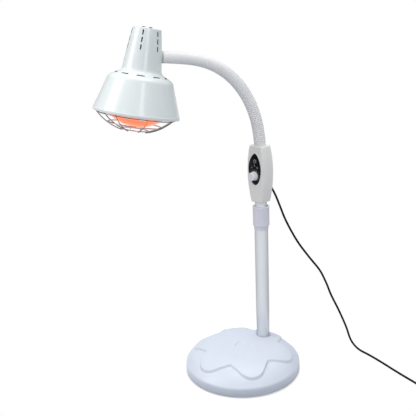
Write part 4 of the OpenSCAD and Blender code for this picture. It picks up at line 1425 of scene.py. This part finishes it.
@dataclass
class Head:
    """Bell shade with its heat bulb and wire guard."""

    neck: Neck
    lean: float = 6.0
    roll: float = 3.0
    height: float = 157.5
    top_r: float = 26.25
    foot_r: float = 36.75
    foot_h: float = 79.0
    belly: float = 0.9
    shoulder: Point2 = (59.7, 67.4)
    lip_r: float = 81.25
    lip_h: float = 5.0
    sheet: float = 1.2
    entry_h: float = 110.5
    slot_turn: float = 6.0
    slot_w: float = 2.4
    slot_len: float = 9.5
    slot_sides: int = 6
    slot_rows: int = 3
    slot_first: float = 8.5
    slot_pitch: float = 13.2
    shoulder_slots: int = 10
    shoulder_slot_r: float = 48.0
    shoulder_slot_w: float = 3.4
    shoulder_slot_len: float = 15.0
    screw_turn: float = -49.0
    screw_r: float = 8.0
    bulb_r: float = 60.5
    bulb_drop: float = 22.5
    bulb_top: float = 93.0
    bulb_belt: float = 6.0
    face_r: float = 80.0
    guard_drop: float = 33.0
    guard_edge_h: float = 2.7
    guard_gap: float = 0.1
    guard_rings: tuple[int, ...] = (26, 50, 72)
    guard_spokes: int = 8
    wire: float = 1.1

    def cone_r(self, h: float) -> float:
        """Outer radius of the upper cone at a height above the lip."""
        t = (h - self.foot_h) / (self.height - self.foot_h)
        return self.foot_r + (self.top_r - self.foot_r) * t + 4 * self.belly * t * (1 - t)

    def frame(self) -> Matrix:
        """Frame of the shade at rest: origin in the middle of the lip, Z to its closed top."""
        return (
            self.neck.joints()[-1] @ move_mm(0, 0, self.neck.end_len) @ turn(self.roll, "Z")
            @ turn(-90 - self.lean, "Y") @ turn(180, "Z")
            @ move_mm(-self.cone_r(self.entry_h), 0, -self.entry_h)
        )

    def entry(self) -> Matrix:
        """Frame of the neck's end as the shade has it."""
        seat = move_mm(self.cone_r(self.entry_h), 0, self.entry_h)
        return seat @ turn(-90 - self.lean, "Y") @ turn(180, "Z")

    def wall_profile(self) -> list[Point2]:
        """Outer face of the shade from its top to its rolled lip.

        Returns:
            Points of the wall, radius and height.
        """
        lip_r, lip_h = self.lip_r, self.lip_h
        top, low = self.height - 12, self.foot_h + 12
        cone = [(self.cone_r(top + (low - top) * k / 8), top + (low - top) * k / 8) for k in range(9)]
        points: list[ProfilePoint] = [
            (0, self.height),
            (self.top_r, self.height, 1.7),
            *cone,
            (self.foot_r, self.foot_h, 9.5),
            (*self.shoulder, 13.5),
            (lip_r - 0.9, lip_h + 1.2, 0.5),
            (lip_r, lip_h - 0.2, 0.6),
            (lip_r, 0.0, 1.5),
            (lip_r - 2.6, 0.0),
        ]
        return fillet(points, 8)

    def shade(self, bench: Bench) -> None:
        """Builds the spun shade and cuts its vents and the neck's hole.

        Args:
            bench: The workbench that the pieces are added to.
        """
        outer = self.wall_profile()
        inner: list[Point2] = []
        for i, (r, z) in enumerate(outer):
            a, b = outer[max(i - 1, 0)], outer[min(i + 1, len(outer) - 1)]
            run = Vector((b[0] - a[0], b[1] - a[1])).normalized()
            inner.append((max(r + run.y * self.sheet, 0.0), z - run.x * self.sheet))
        inner[0] = (0.0, self.height - self.sheet)
        keep = [p for p in inner if p[1] > self.lip_h + 0.5]
        bm = lathe(outer + [(self.lip_r - 2.6, 1.2)] + list(reversed(keep)), 192)
        # Painted shade: the faces of the inner wall take the dark inside finish
        for face in bm.faces:
            corners = [(math.hypot(v.co.x, v.co.y) / MM, v.co.z / MM) for v in face.verts]
            if all(any(abs(r - a) + abs(z - b) < 0.01 for a, b in keep) for r, z in corners):
                face.material_index = 1
        cuts = []
        for k in range(1, self.slot_sides):
            for row in range(self.slot_rows):
                slot = self._slot(self.slot_len, 18, self.slot_w)
                seat = move_mm(self.top_r - 7, 0, self.height - self.slot_first - self.slot_pitch * row)
                around = turn(self.slot_turn + 360 / self.slot_sides * k, "Z")
                cuts.append(placed(slot, around @ seat @ turn(90, "Y")))
        lean = math.degrees(math.atan2(self.foot_h - self.shoulder[1], self.shoulder[0] - self.foot_r))
        seat = (move_mm(self.shoulder_slot_r, 0, (self.foot_h + self.shoulder[1]) / 2) @ turn(lean, "Y")
                @ turn(90, "Z") @ move_mm(0, 0, -7))
        for k in range(self.shoulder_slots):
            slot = self._slot(self.shoulder_slot_len, 14, self.shoulder_slot_w)
            cuts.append(placed(slot, turn(self.slot_turn + 360 / self.shoulder_slots * k, "Z") @ seat))
        hole = lathe([(0, -5), (5.08, -5), (5.08, 7), (0, 7)], 48)
        cuts.append(placed(hole, self.entry()))
        for x in (-self.screw_r, self.screw_r):
            hole = lathe([(0, -5), (2, -5), (2, 5), (0, 5)], 32)
            cuts.append(placed(hole, turn(self.screw_turn, "Z") @ move_mm(x, 0, self.height)))
        bmesh.ops.recalc_face_normals(bm, faces=bm.faces)
        for cut in cuts:
            placed(cut, self.frame())
        bench.piece(
            placed(bm, self.frame()),
            "spun_shade",
            "shade_enamel",
            "head",
            ["shade"],
            sharp=40,
            cuts=cuts,
            inside=Finishes.bare,
        )

    def _slot(self, length: float, depth: float, width: float) -> bmesh.types.BMesh:
        """Round-ended cutter, long along X and standing up along Z.

        Args:
            length: Full length of the slot.
            depth: How deep the cutter reaches.
            width: Full width of the slot.

        Returns:
            The cutter, about the origin.
        """
        run, r = (length - width) / 2, width / 2
        outline = [(run * side + r * math.sin(math.radians(a)), r * math.cos(math.radians(a)))
                   for side, arc in ((1, range(0, 181, 30)), (-1, range(180, 361, 30))) for a in arc]
        return prism(outline, 0, depth)

    def bulb(self, bench: Bench) -> None:
        """Builds the heat bulb's domed face, belt and reflector.

        Args:
            bench: The workbench that the pieces are added to.
        """
        rim_h = self.face_r - self.bulb_drop - math.sqrt(self.face_r**2 - self.bulb_r**2)
        belt = rim_h + self.bulb_belt
        lens = []
        for k in range(25):
            a = math.asin(self.bulb_r / self.face_r) * (1 - k / 24)
            lens.append((self.face_r * math.sin(a), self.face_r - self.bulb_drop - self.face_r * math.cos(a)))
        bowl = []
        for k in range(29):
            t = k / 28
            bowl.append((15 + (self.bulb_r - 15) * (1 - t**1.5) ** 0.8, belt + (self.bulb_top - belt) * t))
        face = lathe(
            [(0, 2 - self.bulb_drop), (self.bulb_r - 2, rim_h + 0.4), *lens[:-1], (0, -self.bulb_drop)], 128
        )
        bench.piece(placed(face, self.frame()), "bulb_lens", "bulb_glass", "head", ["bulb_face"], sharp=50)
        body = lathe([(0, rim_h + 0.5), (self.bulb_r - 0.2, rim_h + 0.5), (self.bulb_r, rim_h + 1.5), *bowl,
                      (0, self.bulb_top)], 128)
        bench.piece(
            placed(body, self.frame()), "bulb_bowl", "bulb_mirror", "head", ["bulb_reflector"], sharp=50
        )

    def guard(self, bench: Bench) -> None:
        """Builds the wire guard: an edge ring under the lip, three rings and eight curved spokes.

        Args:
            bench: The workbench that the pieces are added to.
        """
        edge_r, edge_h = self.lip_r - self.sheet - self.wire - self.guard_gap, self.guard_edge_h
        depth = self.guard_drop + edge_h
        dome = (edge_r**2 + depth**2) / (2 * depth)
        middle = dome - self.guard_drop
        parts = [placed(torus(edge_r, self.wire, 128, 12), move_mm(0, 0, edge_h))]
        for r in self.guard_rings:
            h = middle - math.sqrt(dome**2 - r**2) + 2 * self.wire - 0.5
            parts.append(placed(torus(r, self.wire, 112, 12), move_mm(0, 0, h)))
        start = math.asin(self.guard_rings[0] / dome) - math.radians(1.2)
        end = math.asin(edge_r / dome)
        for k in range(self.guard_spokes):
            bm = bmesh.new()
            bmesh.ops.create_circle(bm, cap_ends=True, segments=12, radius=self.wire * MM)
            bmesh.ops.transform(bm, matrix=turn(90, "X"), verts=bm.verts)
            bmesh.ops.translate(bm, vec=(dome * MM, 0, 0), verts=bm.verts)
            bmesh.ops.transform(bm, matrix=turn(90 - math.degrees(start), "Y"), verts=bm.verts)
            bmesh.ops.spin(bm, geom=bm.faces[:], cent=(0, 0, 0), axis=(0, -1, 0), angle=end - start, steps=24,
                           use_duplicate=False)
            parts.append(
                placed(bm, turn(self.slot_turn + 360 / self.guard_spokes * k, "Z") @ move_mm(0, 0, middle))
            )
        bench.piece(placed(join(parts), self.frame()), "guard_wires", "guard_chrome", "head", ["wire_guard"])

    def top_screws(self, bench: Bench) -> None:
        """Builds the two pan-head screws on the closed top.

        Args:
            bench: The workbench that the pieces are added to.
        """
        parts = []
        for x in (-self.screw_r, self.screw_r):
            outline = fillet([(0, -3.0), (1.9, -3.0, 0.2), (1.9, 0.05), (3.4, 0.05, 0.2), (3.4, 1.4, 0.9),
                              (1.8, 2.6, 0.8), (0, 2.6)], 5)
            parts.append(placed(lathe(outline, 40), turn(self.screw_turn, "Z") @ move_mm(x, 0, self.height)))
        cuts = []
        for x, angle in ((-self.screw_r, 20), (self.screw_r, 65)):
            arm, half = 1.8, 0.4
            corners = [Vector(corner) for corner in ((arm, half, 0), (half, half, 0), (half, arm, 0))]
            cross = prism(((turn(90 * k, "Z") @ c).xy for k in range(4) for c in corners), 1.7, 2)
            seat = turn(self.screw_turn, "Z") @ move_mm(x, 0, self.height) @ turn(angle, "Z")
            cuts.append(placed(cross, self.frame() @ seat))
        bench.piece(
            placed(join(parts), self.frame()),
            "top_screw_heads",
            "plated_steel",
            "head",
            ["bracket_screws"],
            Finishes.blackened,
            cuts=cuts,
        )

    def build(self, bench: Bench) -> None:
        """Builds the head's visible pieces.

        Args:
            bench: The workbench that the pieces are added to.
        """
        self.shade(bench)
        self.bulb(bench)
        self.guard(bench)
        self.top_screws(bench)


# ------------------------------------------------------------------ cord


@dataclass
class Cord:
    """Power cord: strain relief, hanging run, coil, tie and plug."""

    diameter: float = 4.5
    root: tuple[float, float, float] = (0.0, 81.0, 402.0)
    lead: tuple[float, float, float] = (5.0, 10.0, -20.0)
    relief: float = 23.0
    length: float = field(init=False, default=0.0)
    coil_d: float = 54.0
    layer_turns: int = 3
    layer_gap: float = 0.45
    climb: float = 0.5
    pitch: float = 5.2
    dip: float = 0.9
    plug_neck: float = 19.0
    plug_len: float = 36.0
    plug_w: float = 26.0
    plug_t: float = 13.7
    plug_edge: float = 2.2
    pin_y: float = 9.5
    pin_r: float = 2.0
    pin_len: float = 19.0
    points: tuple[tuple[float, float, float], ...] = (
        (7.5, 96, 371.5),
        (11, 101, 358),
        (17, 106, 337),
        (24, 113, 310),
        (34, 123, 280),
        (44, 135, 252),
        (58, 152, 220),
        (73, 168, 190),
        (82, 179, 160),
        (89, 188, 130),
        (99, 199, 98),
        (107, 208, 70),
        (112.7, 214.6, 47.5),
        (118.2, 220.4, 22.8),
        (127.9, 222.4, 9.3),
        (143.2, 221.5, 2.7),
        (164.6, 217.7, 2.7),
        (186, 214, 2.4),
        (215, 207, 2.4),
        (243, 199.5, 2.4),
        (270, 193, 2.4),
        (297, 187, 2.4),
        (320, 181, 2.8),
        (334, 177, 3.2),
    )

    def direction(self) -> Vector:
        """Direction in which the cord leaves the box."""
        return Vector(self.lead).normalized()

    def route(self) -> list[Vector]:
        """Points of the run from the strain relief to the coil, on one smooth curve.

        Returns:
            Points of the run, in millimetres.
        """
        p = [Vector(self.root) + self.direction() * self.relief, *map(Vector, self.points)]
        out = []
        for i in range(len(p) - 1):
            a, b, c, d = p[max(i - 1, 0)], p[i], p[i + 1], p[min(i + 2, len(p) - 1)]
            for k in range(6):
                t = k / 6
                out.append(0.5 * (2 * b + (c - a) * t + (2 * a - 5 * b + 4 * c - d) * t * t
                                  + (3 * b - a - 3 * c + d) * t**3))
        return [*out, p[-1]]

    def heading(self) -> float:
        """Direction of the run where it meets the coil, in degrees."""
        run = Vector(self.points[-1]) - Vector(self.points[-2])
        return math.degrees(math.atan2(run.y, run.x))

    def ahead(self) -> Vector:
        """Unit direction of the run where it meets the coil."""
        heading = math.radians(self.heading())
        return Vector((math.cos(heading), math.sin(heading), 0))

    def turns(self) -> float:
        """Turns of the whole coil: two layers and the climb between them."""
        return 2 * self.layer_turns + self.climb

    def outer_r(self) -> float:
        """Radius at which the coil begins, to the middle of the cord."""
        return self.coil_d / 2 + self.pitch * self.layer_turns / 2

    def turning_point(self) -> Vector:
        """Point beside the run's end that the first turn goes round."""
        flat = self.ahead()
        return Vector(self.points[-1]) + self.outer_r() * Vector((-flat.y, flat.x, 0))

    def coil(self) -> list[Vector]:
        """Points of the coil: a layer wound inwards, a half turn that climbs and a layer wound outwards.

        Returns:
            Points of the coil, in millimetres.
        """
        heading, start = self.heading(), Vector(self.points[-1])
        flat, outer, axis, turns = self.ahead(), self.outer_r(), self.turning_point(), self.turns()
        out = [start]
        count = round(turns * 36)
        for i in range(count + 1):
            u = i / 36
            t = min(max((u - self.layer_turns) / self.climb, 0), 1)
            if u < self.layer_turns:
                r = outer - self.pitch * u
            elif u < self.layer_turns + self.climb:
                r = outer - self.pitch * self.layer_turns
            else:
                r = outer - self.pitch * (turns - u)
            r -= self.dip * math.sin(math.pi * t)
            a = math.radians(heading - 90 + 360 * u)
            z = start.z + (self.diameter + self.layer_gap) * (1 - math.cos(math.pi * t)) / 2
            out.append(Vector((axis.x + r * math.cos(a), axis.y + r * math.sin(a), z)) + self.diameter * flat)
        exit_a = math.radians(heading + 360 * turns)
        out.append(out[-1] + self.diameter * Vector((math.cos(exit_a), math.sin(exit_a), 0)))
        return out

    def exit_frame(self) -> Matrix:
        """Frame at the coil's free end: X along the cord."""
        return move_mm(*self.coil()[-1]) @ turn(self.heading() + 360 * self.turns(), "Z")

    def run(self, bench: Bench) -> bpy.types.Object:
        """Builds the whole cord as one curve with its round jacket.

        Args:
            bench: The workbench that the pieces are added to.

        Returns:
            The cord's object.
        """
        path = [p * MM for p in [*self.route()[:-1], *self.coil()]]
        curve = bpy.data.curves.new("power_lead", "CURVE")
        curve.dimensions, curve.bevel_depth, curve.bevel_resolution = "3D", self.diameter / 2 * MM, 4
        curve.use_fill_caps = True
        spline = curve.splines.new("POLY")
        spline.points.add(len(path) - 1)
        for point, place in zip(spline.points, path):
            point.co = (*place, 1.0)
        spline.use_smooth = True
        ob = bpy.data.objects.new("power_lead", curve)
        bpy.context.scene.collection.objects.link(ob)
        curve.materials.append(Finishes.jacket.material())
        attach(ob, "mast")
        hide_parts("power_cord", "cord_coil")
        bench.replaced.update(("power_cord", "cord_coil"))
        self.length = sum((b - a).length for a, b in zip(path, path[1:]))
        log.info("power_lead: %.3f m", self.length)
        return ob

    def relief_sleeve(self, bench: Bench) -> bpy.types.Object:
        """Builds the tapered strain relief with its grooves.

        Args:
            bench: The workbench that the pieces are added to.

        Returns:
            The sleeve's object.
        """
        outline: list[ProfilePoint] = [(0, -2), (4.1, -2, 0.3), (4.1, 5.6, 0.4)]
        steps = 7
        for k in range(steps):
            z = 6.6 + (self.relief - 8) * k / steps
            r = 4.0 + (self.diameter / 2 + 0.7 - 4.0) * k / steps
            outline += [(r, z), (r, z + 1.1), (r - 0.55, z + 1.35), (r - 0.55, z + 1.95)]
        outline += [
            (self.diameter / 2 + 0.7, self.relief - 0.6, 0.4),
            (self.diameter / 2 + 0.1, self.relief),
            (0, self.relief),
        ]
        place = Vector((0, 0, 1)).rotation_difference(self.direction()).to_matrix().to_4x4()
        bm = placed(lathe(fillet(outline, 3), 48), move_mm(*self.root) @ place)
        return bench.piece(bm, "strain_relief", "cord_rubber", "mast", ["cord_relief"])

    def tie(self, bench: Bench) -> bpy.types.Object:
        """Builds the band that holds the coil.

        Args:
            bench: The workbench that the pieces are added to.

        Returns:
            The tie's object.
        """
        axis = self.turning_point() + self.diameter * self.ahead()
        bundle = self.pitch * self.layer_turns + self.diameter + 1.2 * self.pitch
        low = self.points[-1][2] - self.diameter / 2 - 0.7
        high = self.points[-1][2] + self.diameter * 1.5 + self.layer_gap + 0.9
        size = (bundle + 1.2, 6.0, high - low)
        shell = box_solid(size, (0, 0, 0), 1.2, 3)
        hole = box_solid((size[0] - 1.2, 10.0, size[2] - 1.2), (0, 0, 0), 0.8, 2)
        place = move_mm(axis.x, axis.y, (low + high) / 2) @ turn(150, "Z") @ move_mm(self.coil_d / 2, 0, 0)
        return bench.piece(placed(shell, place), "coil_band", "cord_rubber", "mast", ["coil_tie"],
                           cuts=[placed(hole, place)])

    def plug(self, bench: Bench) -> list[bpy.types.Object]:
        """Builds the two-pin plug with its waisted boot and round-ended pins.

        Args:
            bench: Bench that finishes both pieces.

        Returns:
            The plug's moulding and its pins.
        """
        end = self.exit_frame()
        low = -self.coil()[-1].z
        neck, far, half, thick = self.plug_neck, self.plug_neck + self.plug_len, self.plug_w / 2, self.plug_t
        outline = [
            (neck, -7),
            (neck + 8, -half),
            (far - 3, -half),
            (far, -half + 3),
            (far, half - 3),
            (far - 3, half),
            (neck + 8, half),
            (neck, 7),
        ]
        bm = prism(outline, low, thick)
        soften(bm, bm.edges[:], self.plug_edge, 4)
        r0, r1, steps = self.diameter / 2 + 0.6, self.diameter / 2 + 2.5, 5
        boot_outline: list[ProfilePoint] = [(0, 0), (r0, 0, 0.3)]
        for k in range(steps):
            x, r = 2.5 + (neck - 4) * k / steps, r0 + (r1 - r0) * (k + 0.5) / steps
            boot_outline += [(r, x), (r, x + 1.5), (r - 0.45, x + 1.75), (r - 0.45, x + 2.6)]
        boot_outline += [(r1, neck + 0.5), (r1, neck + 3), (0, neck + 3)]
        boot = placed(lathe(fillet(boot_outline, 3), 40), turn(90, "Y"))
        grooves = [
            box_solid((0.9, 2 * half - 9, 1.2), (neck + 12 + 3.4 * k, 0, low + thick), 0.2) for k in range(5)
        ]
        body = bench.piece(
            placed(join([bm, boot]), end),
            "plug_moulding",
            "cord_rubber",
            "mast",
            ["plug_body"],
            cuts=[placed(groove, end) for groove in grooves],
        )
        pins = []
        for y in (-self.pin_y, self.pin_y):
            pin = lathe(
                fillet([(0, -2), (self.pin_r, -2), (self.pin_r, self.pin_len, 0.9), (0, self.pin_len)], 5), 32
            )
            pins.append(placed(pin, move_mm(far, y, thick / 2 + low) @ turn(90, "Y")))
        pair = bench.piece(placed(join(pins), end), "plug_contacts", "plated_steel", "mast", ["plug_pins"])
        return [body, pair]

    def build(self, bench: Bench) -> None:
        """Args:
            bench: The workbench that the pieces are added to.
        """
        lead = self.run(bench)
        others = [self.relief_sleeve(bench), self.tie(bench), *self.plug(bench)]


# ------------------------------------------------------------------ studio


@dataclass
class Studio:
    """Floor, lights and the photograph's camera."""

    eye: tuple[float, float, float] = (922.36, -942.27, 784.26)
    forward: tuple[float, float, float] = (-0.6960, 0.6491, -0.3070)
    roll: float = 2.408
    focal_px: float = 700.0
    frame_px: float = 416.0
    sky: tuple[float, float] = (0.38, 0.84)
    floor_glow: float = 0.38
    shadow_reach: tuple[float, float] = (0.13, 0.3)

    def camera(self) -> None:
        """Places the camera at the photograph's viewing angle."""
        ahead = Vector(self.forward).normalized()
        right0 = ahead.cross(Vector((0, 0, 1))).normalized()
        up0 = right0.cross(ahead)
        a = math.radians(self.roll)
        up = up0 * math.cos(a) + right0 * math.sin(a)
        right = ahead.cross(up).normalized()
        data = bpy.data.cameras.new("photo_camera")
        data.sensor_width = 36.0
        data.lens = 36.0 * self.focal_px / self.frame_px
        data.clip_start, data.clip_end = 0.05, 30.0
        ob = bpy.data.objects.new("photo_camera", data)
        basis = Matrix((right, up, -ahead)).transposed().to_4x4()
        ob.matrix_world = Matrix.Translation(Vector(self.eye) * MM) @ basis
        bpy.context.scene.collection.objects.link(ob)
        bpy.context.scene.camera = ob

    def floor(self) -> None:
        """Lays a pale floor that keeps the lamp's shadow and runs out to plain white around it."""
        bm = bmesh.new()
        bmesh.ops.create_grid(bm, x_segments=1, y_segments=1, size=12.0)
        bmesh.ops.translate(bm, vec=(0, 0, -0.0002), verts=bm.verts)
        mesh = bpy.data.meshes.new("floor")
        bm.to_mesh(mesh)
        bm.free()
        ob = bpy.data.objects.new("floor", mesh)
        bpy.context.scene.collection.objects.link(ob)
        made = bpy.data.materials.new("white_floor")
        made.use_nodes = True
        tree = made.node_tree
        tree.nodes.clear()
        seen = self.seen_ray(tree)
        place = add_node(tree, "ShaderNodeTexCoord").outputs["Object"]
        away = add_node(tree, "ShaderNodeVectorMath", {0: place}, operation="LENGTH").outputs["Value"]
        far = add_node(
            tree, "ShaderNodeMapRange",
            {"Value": away, "From Min": self.shadow_reach[0], "From Max": self.shadow_reach[1]},
            interpolation_type="SMOOTHSTEP",
        ).outputs[0]
        lit = add_node(tree, "ShaderNodeBsdfDiffuse", {"Color": (0.8, 0.8, 0.81, 1)}).outputs[0]
        bounce = add_node(tree, "ShaderNodeBsdfDiffuse", {"Color": (0.3, 0.32, 0.36, 1)}).outputs[0]
        glow = add_node(
            tree, "ShaderNodeEmission", {"Color": (1, 1, 1, 1), "Strength": self.floor_glow}
        ).outputs[0]
        near = add_node(tree, "ShaderNodeAddShader", {0: lit, 1: glow}).outputs[0]
        white = add_node(tree, "ShaderNodeEmission", {"Color": (1, 1, 1, 1), "Strength": 1.0}).outputs[0]
        shown = add_node(tree, "ShaderNodeMixShader", {0: far, 1: near, 2: white}).outputs[0]
        mix = add_node(tree, "ShaderNodeMixShader", {0: seen, 1: bounce, 2: shown}).outputs[0]
        add_node(tree, "ShaderNodeOutputMaterial", {"Surface": mix})
        mesh.materials.append(made)

    def seen_ray(self, tree: bpy.types.NodeTree) -> bpy.types.NodeSocket:
        """Tells rays that show the white surround from those that light by it.

        Args:
            tree: Node tree that the nodes go into.

        Returns:
            Socket that is 1 for rays from the camera, from mirrors and through glass, and 0 otherwise.
        """
        path = add_node(tree, "ShaderNodeLightPath")
        total = add_node(
            tree, "ShaderNodeMath", {0: path.outputs["Is Camera Ray"], 1: path.outputs["Is Glossy Ray"]},
            operation="ADD",
        ).outputs[0]
        return add_node(
            tree,
            "ShaderNodeMath",
            {0: total, 1: path.outputs["Is Transmission Ray"]},
            operation="ADD",
            use_clamp=True,
        ).outputs[0]

    def world(self) -> None:
        """Makes a surround that is white to the eye and lights more from above than from the sides."""
        world = bpy.data.worlds.new("studio")
        bpy.context.scene.world = world
        world.use_nodes = True
        tree = world.node_tree
        tree.nodes.clear()
        path = add_node(tree, "ShaderNodeLightPath")
        seen = add_node(
            tree,
            "ShaderNodeMath",
            {0: path.outputs["Is Camera Ray"], 1: path.outputs["Is Transmission Ray"]},
            operation="ADD",
            use_clamp=True,
        ).outputs[0]
        ray = add_node(tree, "ShaderNodeTexCoord").outputs["Generated"]
        height = add_node(tree, "ShaderNodeSeparateXYZ", {"Vector": ray}).outputs["Z"]
        power = add_node(
            tree,
            "ShaderNodeMapRange",
            {
                "Value": height,
                "From Min": -0.1,
                "From Max": 0.9,
                "To Min": self.sky[0],
                "To Max": self.sky[1],
            },
            interpolation_type="SMOOTHSTEP",
        ).outputs[0]
        soft = add_node(
            tree, "ShaderNodeBackground", {"Color": hex_colour("#F6F8FB"), "Strength": power}
        ).outputs[0]
        white = add_node(tree, "ShaderNodeBackground", {"Color": (1, 1, 1, 1), "Strength": 1.0}).outputs[0]
        mix = add_node(tree, "ShaderNodeMixShader", {0: seen, 1: soft, 2: white}).outputs[0]
        add_node(tree, "ShaderNodeOutputWorld", {"Surface": mix})

    def light(
        self,
        name: str,
        place: Sequence[float],
        aim: Sequence[float],
        size: Sequence[float],
        power: float,
        colour: str = "#FFFFFF",
    ) -> None:
        """Hangs one soft rectangular lamp.

        Args:
            name: Name of the lamp.
            place: Where it hangs, in metres.
            aim: Point that it faces, in metres.
            size: Width and height in metres.
            power: Power in watts.
            colour: Colour of its light.
        """
        data = bpy.data.lights.new(name, "AREA")
        data.shape, data.size, data.size_y, data.energy = "RECTANGLE", size[0], size[1], power
        data.color = hex_colour(colour)[:3]
        ob = bpy.data.objects.new(name, data)
        ob.location = place
        ob.rotation_euler = (Vector(aim) - Vector(place)).to_track_quat("-Z", "Y").to_euler()
        bpy.context.scene.collection.objects.link(ob)

    def build(self) -> None:
        """Sets up the studio."""
        scene = bpy.context.scene
        scene.view_settings.view_transform = "Standard"
        self.camera()
        self.floor()
        self.world()
        middle = (0.0, 0.0, 0.35)
        self.light("key", (-0.9, -1.5, 1.6), middle, (0.9, 1.3), 18.0, "#FFFDFA")
        self.light("side", (1.65, -0.75, 1.25), middle, (0.35, 1.4), 8.0)
        self.light("overhead", (-0.1, 0.3, 2.2), middle, (1.2, 1.2), 13.0)


def main() -> None:
    """Dresses the lamp piece by piece."""
    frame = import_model()
    Studio().build()
    bench = Bench(frame)
    Cord().build(bench)
    Base().build(bench)
    Pole().build(bench)
    ControlBox().build(bench)
    neck = Neck()
    neck.build(bench)
    Head(neck).build(bench)
    bench.dress_rest()


if __name__ == "__main__":
    logging.basicConfig(level=logging.INFO, format="%(name)s: %(message)s")
    main()
